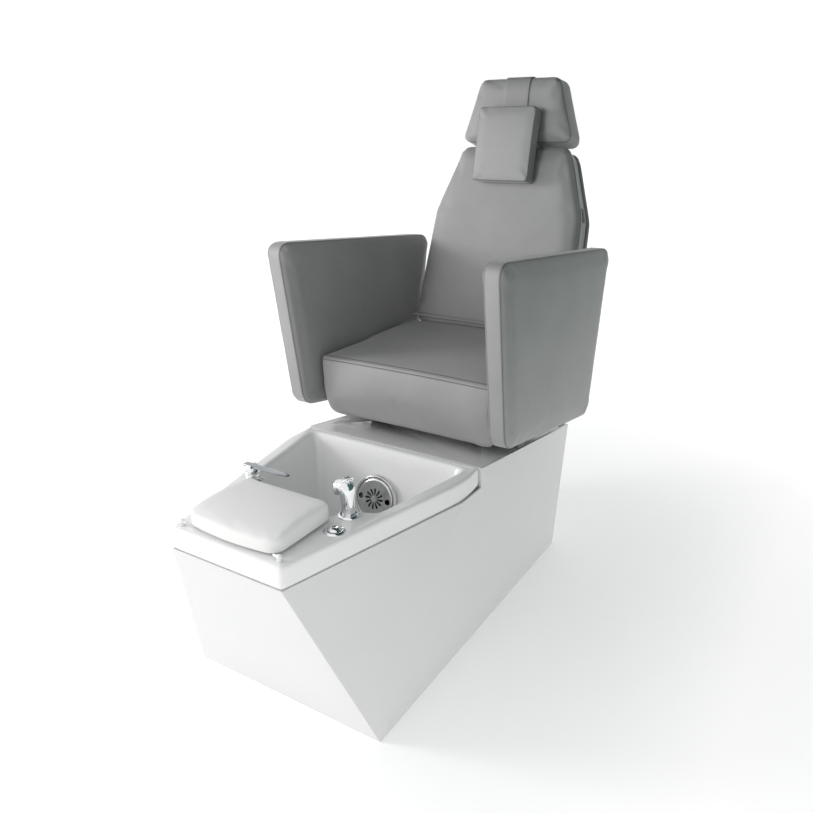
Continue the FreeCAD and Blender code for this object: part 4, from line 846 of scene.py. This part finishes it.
def leather(name, low, high, sheen=0.25):
    """Coated synthetic leather: fine pebbled grain, faint mottling and a soft satin sheen, with painted shade
    that darkens the seam grooves.
    """
    finish = finish_of(name, Sheen_Weight=sheen, Sheen_Roughness=0.45, Specular_IOR_Level=0.42)
    tint(finish, pattern(finish, "Noise", 7, Detail=5, Roughness=0.6), low, high)
    nodes, links = finish.node_tree.nodes, finish.node_tree.links
    base = nodes["Principled BSDF"].inputs["Base Color"]
    drawn, painted_seam_shade = nodes.new("ShaderNodeAttribute"), nodes.new("ShaderNodeMix")
    drawn.attribute_name = "seam"
    # The seam mark mixes the colour towards a darker grey: painted shade along the seam grooves.
    painted_seam_shade.data_type = "RGBA"
    painted_seam_shade.inputs["B"].default_value = [share * SEAM_SHADE for share in low] + [1]
    links.new(base.links[0].from_socket, painted_seam_shade.inputs["A"])
    links.new(drawn.outputs["Fac"], painted_seam_shade.inputs["Factor"])
    links.new(painted_seam_shade.outputs["Result"], base)
    polish(finish, pattern(finish, "Noise", 45, Detail=4), 0.46, 0.60)
    relief(finish, pattern(finish, "Noise", 26, Detail=3), 0.0012, 0.30)
    relief(finish, pattern(finish, "Voronoi", 620), 0.00022, 0.55)
    return finish


grey_leather = leather("grey_leather", (0.285, 0.287, 0.285), (0.325, 0.326, 0.323))
thread_grey = coating("grey_thread", (0.10, 0.10, 0.10), (0.17, 0.17, 0.17), (300, 2), (500, 2), (0.6, 0.8),
                      ("Wave", 2200, 0.0002, 0.6))


def sewn_round(rows, axis, *places):
    """A test for the grid lines that run all round a block at some places along one axis."""
    lines = [min(range(len(rows[axis])), key=lambda n: abs(rows[axis][n] - place)) for place in places]
    others = [other for other in range(3) if other != axis]

    def sewn(*at):
        return at[axis] in lines and any(at[other] in (0, len(rows[other]) - 1) for other in others)
    return sewn


def cushion(name, node, body, rows, edge, form, sewn, swell, draw, ripple, fill, thread=(),
            slot="upholstery_grey", finish=grey_leather, **corners):
    """A padded piece: puffed by up to swell, its seams drawn in by draw, then finished, fixed and
    stitched at the thread's offsets. Gives the piece and its seam lines."""
    piece, grid = foam_block(name, rows, edge, form, **corners)
    puff(piece, grid, sewn, swell)
    chains = sew(piece, grid, sewn, draw, ripple)
    modify(piece, "SUBSURF", levels=1, render_levels=1)
    settle(piece, body, finish, 60, node)
    if thread:
        stitch(piece, name.replace("_pad", "") + "_stitching", chains, thread, body)
    return piece, chains


def in_side(corners, across, up):
    """A place in a side outline, given by its corners from the low front round to the top front."""
    low = Vector(corners[0]).lerp(Vector(corners[1]), across)
    top = Vector(corners[3]).lerp(Vector(corners[2]), across)
    return low.lerp(top, up)


SEAT_HALF, SEAT_DEEP, SEAT_TALL = 0.264, 0.47, 0.2
SEAT_SIDE = [(0.036, 0.492), (0.414, 0.4495), (0.481, 0.6800), (0.012, 0.667)]  # y and z


def seat_form(x, y, z):
    """From the block's own box to the seat's leaning side outline, bulged at the front."""
    across, up = y / SEAT_DEEP + 0.5, z / SEAT_TALL + 0.5
    spot = in_side(SEAT_SIDE, across, up)
    bulge = 0.011 * math.sin(math.pi * min(1, max(0, up))) * (1 - min(1, max(0, across * 3)))
    inwards = 1 - 0.014 * (1 - min(1, up * 2.2)) ** 2
    crown = 0.004 * (1 - (x / SEAT_HALF) ** 2) * max(0, up - 0.5) * 2
    return Vector((x * inwards, spot.x - bulge, spot.y + crown))


SEAT_TOP_SEAM, SEAT_FRONT_SEAM = -0.2240, 0.0910
seat_rows = [cell_rows(SEAT_HALF, 0.017, 0.012), cell_rows(SEAT_DEEP / 2, 0.013, 0.012, [SEAT_TOP_SEAM]),
             cell_rows(SEAT_TALL / 2, 0.013, 0.012, [SEAT_FRONT_SEAM])]
seat_sides_sewn = sewn_round(seat_rows, 2, SEAT_FRONT_SEAM)


def seat_seams(i, j, k):
    """A line all round just under the top edge, and one across the top just behind the front."""
    across_top = k == len(seat_rows[2]) - 1 and seat_rows[1][j] == SEAT_TOP_SEAM
    return across_top or seat_sides_sewn(i, j, k)


cushion("seat_pad", "seat_cushion", "seat", seat_rows, 0.013, seat_form, seat_seams, swell=0.006,
        draw=0.0016, ripple=0.0006, fill=0.9, thread=(0.0026,), rear_edge=0.006, low_corner=0.026)


# ---------------------------------------------------------------- arms
# Two flat padded panels that flare forwards: a leather face on each side and a narrow strip all
# round, joined by stitched seams. One is made, and the other is its mirror image.
ARM_THICK, ARM_DEEP, ARM_TALL = 0.062, 0.66, 0.47
ARM_INNER = 0.2755
ARM_SIDE = [(-0.038, 0.531), (0.552, 0.440), (0.636, 0.933), (-0.1135, 0.987)]  # y and z
ARM_SEAM = 0.0210
ARM_FILL = 0.95
ARM_THREAD = (-0.0024, 0.0024)


def arm_form(x, y, z):
    """From the block's own box to the arm's four-cornered side outline."""
    spot = in_side(ARM_SIDE, y / ARM_DEEP + 0.5, z / ARM_TALL + 0.5)
    crown = 0.0035 * (1 - (2 * y / ARM_DEEP) ** 4) * (1 - (2 * z / ARM_TALL) ** 4)
    crown *= 2 * x / ARM_THICK
    return Vector((ARM_INNER + ARM_THICK / 2 + x * 0.94 + crown * 0.4, spot.x, spot.y))


arm_rows = [cell_rows(ARM_THICK / 2, 0.015, 0.009, [-ARM_SEAM, ARM_SEAM]),
            cell_rows(ARM_DEEP / 2, 0.015, 0.0105), cell_rows(ARM_TALL / 2, 0.015, 0.0105)]
arm, arm_chains = cushion(
    "arm_pad_left", "arm_left", "seat", arm_rows, 0.015, arm_form,
    sewn_round(arm_rows, 0, -ARM_SEAM, ARM_SEAM), swell=0.0035, draw=0.0012, ripple=0.0005,
    fill=ARM_FILL, thread=ARM_THREAD, corner=0.040, corner_axes=(1, 2))
other_arm = placed("arm_pad_right", arm.data.copy())
for vertex in other_arm.data.vertices:
    vertex.co.x = -vertex.co.x
other_arm.data.flip_normals()
settle(other_arm, "seat", grey_leather, 60, "arm_right")
other_chains = [[Vector((-p.x, p.y, p.z)) for p in chain] for chain in arm_chains]
stitch(other_arm, "arm_right_stitching", other_chains, ARM_THREAD, "seat")


# ---------------------------------------------------------------- backrest
# A tapering foam back on its board, a matching rear cover, and a soft roll along its foot. All are in
# grey leather and lean back together.
BACK_FOOT = Vector((0, 0.498, 0.690))
BACK_TURN = Matrix.Rotation(math.radians(-16), 3, "X")
BACK_TALL = 0.606
BACK_LOW = -0.060
BACK_BOX_HALF = 0.26
BACK_OUTLINE = [(-0.060, 0.238), (-0.014, 0.238), (0.002, 0.262), (0.345, 0.2435), (0.546, 0.175)]


def on_back(x, deep, up):
    """A place in the backrest's own leaning frame."""
    return BACK_FOOT + BACK_TURN @ Vector((x, deep, up))


def half_at(outline, up):
    """The half width at a height, on the straight lines between an outline's (height, half width)."""
    for (low, first), (high, second) in zip(outline, outline[1:]):
        if up <= high:
            return first + (second - first) * max(0, up - low) / (high - low)
    return outline[-1][1]


def back_form(front, thick):
    """The form of a slab of the backrest that starts at a depth; its corners stay rounded."""
    def form(x, y, z):
        up = BACK_LOW + (z / BACK_TALL + 0.5) * BACK_TALL
        crown = 0.006 * (1 - (x / BACK_BOX_HALF) ** 2) * (1 - abs(2 * z / BACK_TALL) ** 3)
        deep = front + thick / 2 + y
        if y < 0:
            deep -= crown * (-2 * y / thick)
        return on_back(x / BACK_BOX_HALF * half_at(BACK_OUTLINE, up), deep, up)
    return form


BACK_SEAM = -0.022
back_rows = [cell_rows(BACK_BOX_HALF, 0.020, 0.0125), cell_rows(0.0445, 0.020, 0.011, [BACK_SEAM]),
             cell_rows(BACK_TALL / 2, 0.020, 0.0125)]
back, _ = cushion(
    "back_pad", "backrest_cushion", "backrest", back_rows, 0.020, back_form(0.0015, 0.0885),
    sewn_round(back_rows, 1, BACK_SEAM), swell=0.006, draw=0.0010, ripple=0.0004, fill=0.9,
    thread=(0.0026,), corner=0.030, rear_edge=0.003)

SHELL_SEAM = -0.0060
shell_rows = [cell_rows(BACK_BOX_HALF, 0.012, 0.014), cell_rows(0.0155, 0.004, 0.008, [SHELL_SEAM]),
              cell_rows(BACK_TALL / 2, 0.012, 0.014)]
cushion("back_shell", "backrest_cover", "backrest", shell_rows, 0.003, back_form(0.0906, 0.0305),
        sewn_round(shell_rows, 1, SHELL_SEAM), swell=0.003, draw=0.0008, ripple=0.0003, fill=0.95,
        thread=(0.0024,), corner=0.030, rear_edge=0.011)

WELT_RADIUS, WELT_LONG = 0.0066, 0.520
WELT_DEEP, WELT_UP = -0.0083, 0.003
WELT_STOPS = 60
roll_rings = []
for stop in range(WELT_STOPS + 1):
    share = stop / WELT_STOPS
    swell = math.sin(math.pi * share) ** 0.08 if 0 < share < 1 else 0.2
    ring = []
    for number in range(14):
        angle = math.tau * number / 14
        radius = WELT_RADIUS * swell * (1 + 0.03 * noise.noise(Vector((share * 90, angle, 0))))
        ring.append(on_back((share - 0.5) * WELT_LONG, WELT_DEEP + radius * math.cos(angle),
                            WELT_UP + radius * math.sin(angle)))
    roll_rings.append(ring)
roll = stack_rings("back_roll", roll_rings)
close_ends(roll)
modify(roll, "SUBSURF", levels=1, render_levels=1)
settle(roll, "backrest", grey_leather, 60, "back_welt")

TAG_WIDE, TAG_TALL = 0.022, 0.040
TAG_DEEP, TAG_UP = 0.058, 0.357
back_tree = cover_tree(back)
side_tag = shape_from(bpy.ops.mesh.primitive_grid_add, "side_label", x_subdivisions=6, y_subdivisions=10,
                      size=2)
for vertex in side_tag.data.vertices:
    outside = on_back(0.5, TAG_DEEP + vertex.co.x * TAG_WIDE / 2, TAG_UP + vertex.co.y * TAG_TALL / 2)
    spot, _, _, _ = back_tree.ray_cast(outside, Vector((-1, 0, 0)))
    vertex.co = spot + Vector((0.0006, 0, 0))
if side_tag.data.polygons[0].normal.x < 0:
    side_tag.data.flip_normals()
modify(side_tag, "SOLIDIFY", thickness=0.0011, offset=1)
tag_cloth = coating("tag_cloth", (0.010, 0.010, 0.012), (0.022, 0.022, 0.024), (60, 2), (300, 2), (0.6, 0.8),
                    ("Wave", 900, 0.0002, 0.7), Sheen_Weight=0.3)
settle(side_tag, "backrest", tag_cloth, 40, "blank_tag")


# ---------------------------------------------------------------- headrest and strap
# A tapered padded block on two steel rods, with a flat leather strap over its middle that holds
# the neck pillow.
HEAD_FOOT = on_back(0, 0.002, 0.557)
HEAD_TURN = Matrix.Rotation(math.radians(-3.6), 3, "X")
HEAD_DEEP = 0.096
HEAD_TALL = 0.178
HEAD_DROP = math.tan(math.radians(12.4))
HEAD_BOX_HALF = 0.15
HEAD_OUTLINE = [(-0.04, 0.173), (0.012, 0.176), (0.168, 0.127), (0.20, 0.118)]


def in_head(x, deep, up):
    """A place in the headrest's own frame."""
    return HEAD_FOOT + HEAD_TURN @ Vector((x, deep, up))


def head_form(x, y, z):
    """From the block's own box to the headrest's tapering front and slanting underside."""
    deep = y + HEAD_DEEP / 2
    low, high = -deep * HEAD_DROP + 0.0005, HEAD_TALL - 0.004 * deep / HEAD_DEEP
    up = low + (high - low) * (z / HEAD_TALL + 0.5)
    crown = 0.004 * (1 - (x / HEAD_BOX_HALF) ** 2) * (1 - (2 * z / HEAD_TALL) ** 2)
    return in_head(x / HEAD_BOX_HALF * half_at(HEAD_OUTLINE, up), deep + crown * 2 * y / HEAD_DEEP, up)


HEAD_SEAM = 0.036
head_rows = [cell_rows(HEAD_BOX_HALF, 0.015, 0.009),
             cell_rows(HEAD_DEEP / 2, 0.015, 0.009, [-HEAD_SEAM, HEAD_SEAM]),
             cell_rows(HEAD_TALL / 2, 0.015, 0.009)]
head, _ = cushion(
    "head_pad", "headrest_cushion", "headrest", head_rows, 0.015, head_form,
    sewn_round(head_rows, 1, -HEAD_SEAM, HEAD_SEAM), swell=0.004, draw=0.0010, ripple=0.0008, fill=0.9,
    thread=(0.0025,), corner=0.020)

STRAP_WIDE = 0.080
STRAP_LONG = 0.340
STRAP_STOPS = 120
head_tree = cover_tree(head)


def strap_line(x):
    """Points over the headrest at one place across it, from low on its front to low on its back."""
    centre = in_head(x, HEAD_DEEP / 2, 0.100)
    points = []
    for step in range(STRAP_STOPS + 1):
        angle = math.radians(-128 + 246 * step / STRAP_STOPS)
        away = HEAD_TURN @ Vector((0, math.sin(angle), math.cos(angle)))
        spot, normal, _, _ = head_tree.ray_cast(centre + away * 0.3, -away)
        points.append(spot + normal * 0.0012)
    return points


middle_line = strap_line(0)
line_long = sum((second - first).length for first, second in zip(middle_line, middle_line[1:]))
spare = max(0, line_long - STRAP_LONG)
strap = shape_from(bpy.ops.mesh.primitive_grid_add, "head_strap", x_subdivisions=8, y_subdivisions=68,
                   size=2)
strap_lines = {}
for vertex in strap.data.vertices:
    x = round(vertex.co.x * STRAP_WIDE / 2, 5)
    if x not in strap_lines:
        strap_lines[x] = strap_line(x)
    line = strap_lines[x]
    along = spare + (vertex.co.y + 1) / 2 * (line_long - spare)
    travelled = 0
    for first, second in zip(line, line[1:]):
        step = (second - first).length
        if travelled + step >= along:
            break
        travelled += step
    vertex.co = first.lerp(second, min(1, (along - travelled) / max(step, 1e-9)))
only(strap)
bpy.ops.object.mode_set(mode="EDIT")
leave_edit()
tops = [f for f in strap.data.polygons if f.center.z > HEAD_FOOT.z + 0.17]
if tops[len(tops) // 2].normal.z < 0:
    strap.data.flip_normals()
modify(strap, "SOLIDIFY", thickness=0.0026, offset=1)
modify(strap, "BEVEL", width=0.0006, segments=2, limit_method="ANGLE", angle_limit=math.radians(40))
settle(strap, "headrest", grey_leather, 50, "headrest_strap")


# ---------------------------------------------------------------- neck pillow and counterweight
# A soft boxed pillow that hangs in front of the headrest, and the small weighted pad behind it that
# balances it.
PILLOW_FOOT = Vector((0, 0.603, 1.103))
PILLOW_TURN = Matrix.Rotation(math.radians(-11.5), 3, "X")
PILLOW_TALL = 0.212
PILLOW_THICK = 0.050


def pillow_form(x, y, z):
    """From the pillow's box to its place; its sides pull in a little between the corners."""
    pull = 1 - 0.012 * math.cos(math.pi * z / PILLOW_TALL) ** 2
    spot = Vector((x * pull, y - PILLOW_THICK / 2 - 0.003, z + PILLOW_TALL / 2 + 0.0015))
    return PILLOW_FOOT + PILLOW_TURN @ spot


PILLOW_SEAM = 0.0215
pillow_rows = [cell_rows(0.091, 0.008, 0.007),
               cell_rows(PILLOW_THICK / 2, 0.008, 0.007, [-PILLOW_SEAM, PILLOW_SEAM]),
               cell_rows(PILLOW_TALL / 2, 0.008, 0.007)]
cushion("neck_pad", "neck_pillow", "neck_pillow", pillow_rows, 0.007, pillow_form,
        sewn_round(pillow_rows, 1, -PILLOW_SEAM, PILLOW_SEAM), swell=0.0045, draw=0.0010, ripple=0.0007,
        fill=0.8, thread=(0.0024,), corner=0.012)

weight_low, weight_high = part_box("pillow_counterweight")


def weight_form(x, y, z):
    """From the counterweight's box to its place behind the headrest."""
    return (weight_low + weight_high) / 2 + HEAD_TURN @ Vector((x, y, z))


weight_rows = [cell_rows(0.045, 0.008, 0.007), cell_rows(0.0105, 0.0075, 0.006),
               cell_rows(0.041, 0.008, 0.007)]
cushion("weight_pad", "pillow_counterweight", "counterweight", weight_rows, 0.0075, weight_form,
        sewn_round(weight_rows, 1, 0), swell=0.0015, draw=0.0008, ripple=0.0004, fill=0.8, corner=0.010)


# ---------------------------------------------------------------- footrest pad
# A white vinyl pad with a crowned top and a bowed front edge that lies over the front deck and
# tilts on two small round lugs.
PAD_FRONT, PAD_BACK = -0.6325, -0.4435
PAD_BASE = deck_z + 0.0025
PAD_HALF, PAD_DEEP, PAD_TALL = 0.1235, 0.19, 0.045


def foot_form(x, y, z):
    """From the pad's box to its wedge: deep at the basin, rolled down to a bowed front."""
    along = y / PAD_DEEP + 0.5
    top = 0.0420 + 0.002 * math.sin(math.pi * min(1, along)) - 0.0090 * max(0, 1 - along / 0.55) ** 2
    top += 0.0015 * (1 - (x / PAD_HALF) ** 2)
    bow = 0.011 * (1 - (x / PAD_HALF) ** 2) * (1 - along) ** 1.5 - 0.009 * (1 - along) ** 1.5
    spot_y = PAD_FRONT + (PAD_BACK - PAD_FRONT) * along - bow
    return Vector((x, spot_y, PAD_BASE + (z / PAD_TALL + 0.5) * top))


PAD_SEAM = -0.0165
pad_rows = [cell_rows(PAD_HALF, 0.011, 0.008), cell_rows(PAD_DEEP / 2, 0.011, 0.008),
            cell_rows(PAD_TALL / 2, 0.011, 0.008, [PAD_SEAM])]
white_vinyl = leather("white_vinyl", (0.76, 0.762, 0.755), (0.79, 0.79, 0.782), sheen=0.05)
cushion("foot_pad", "footrest_pad", "footrest", pad_rows, 0.0108, foot_form,
        sewn_round(pad_rows, 2, PAD_SEAM), swell=0.0015, draw=0.0003, ripple=0.0001, fill=0.9,
        slot="footrest_white", finish=white_vinyl, corner=0.026, corner_axes=(0, 1))
smooth_cad(basin_acrylic, "pad_lugs", "footrest_lugs", "base", 0.0004)
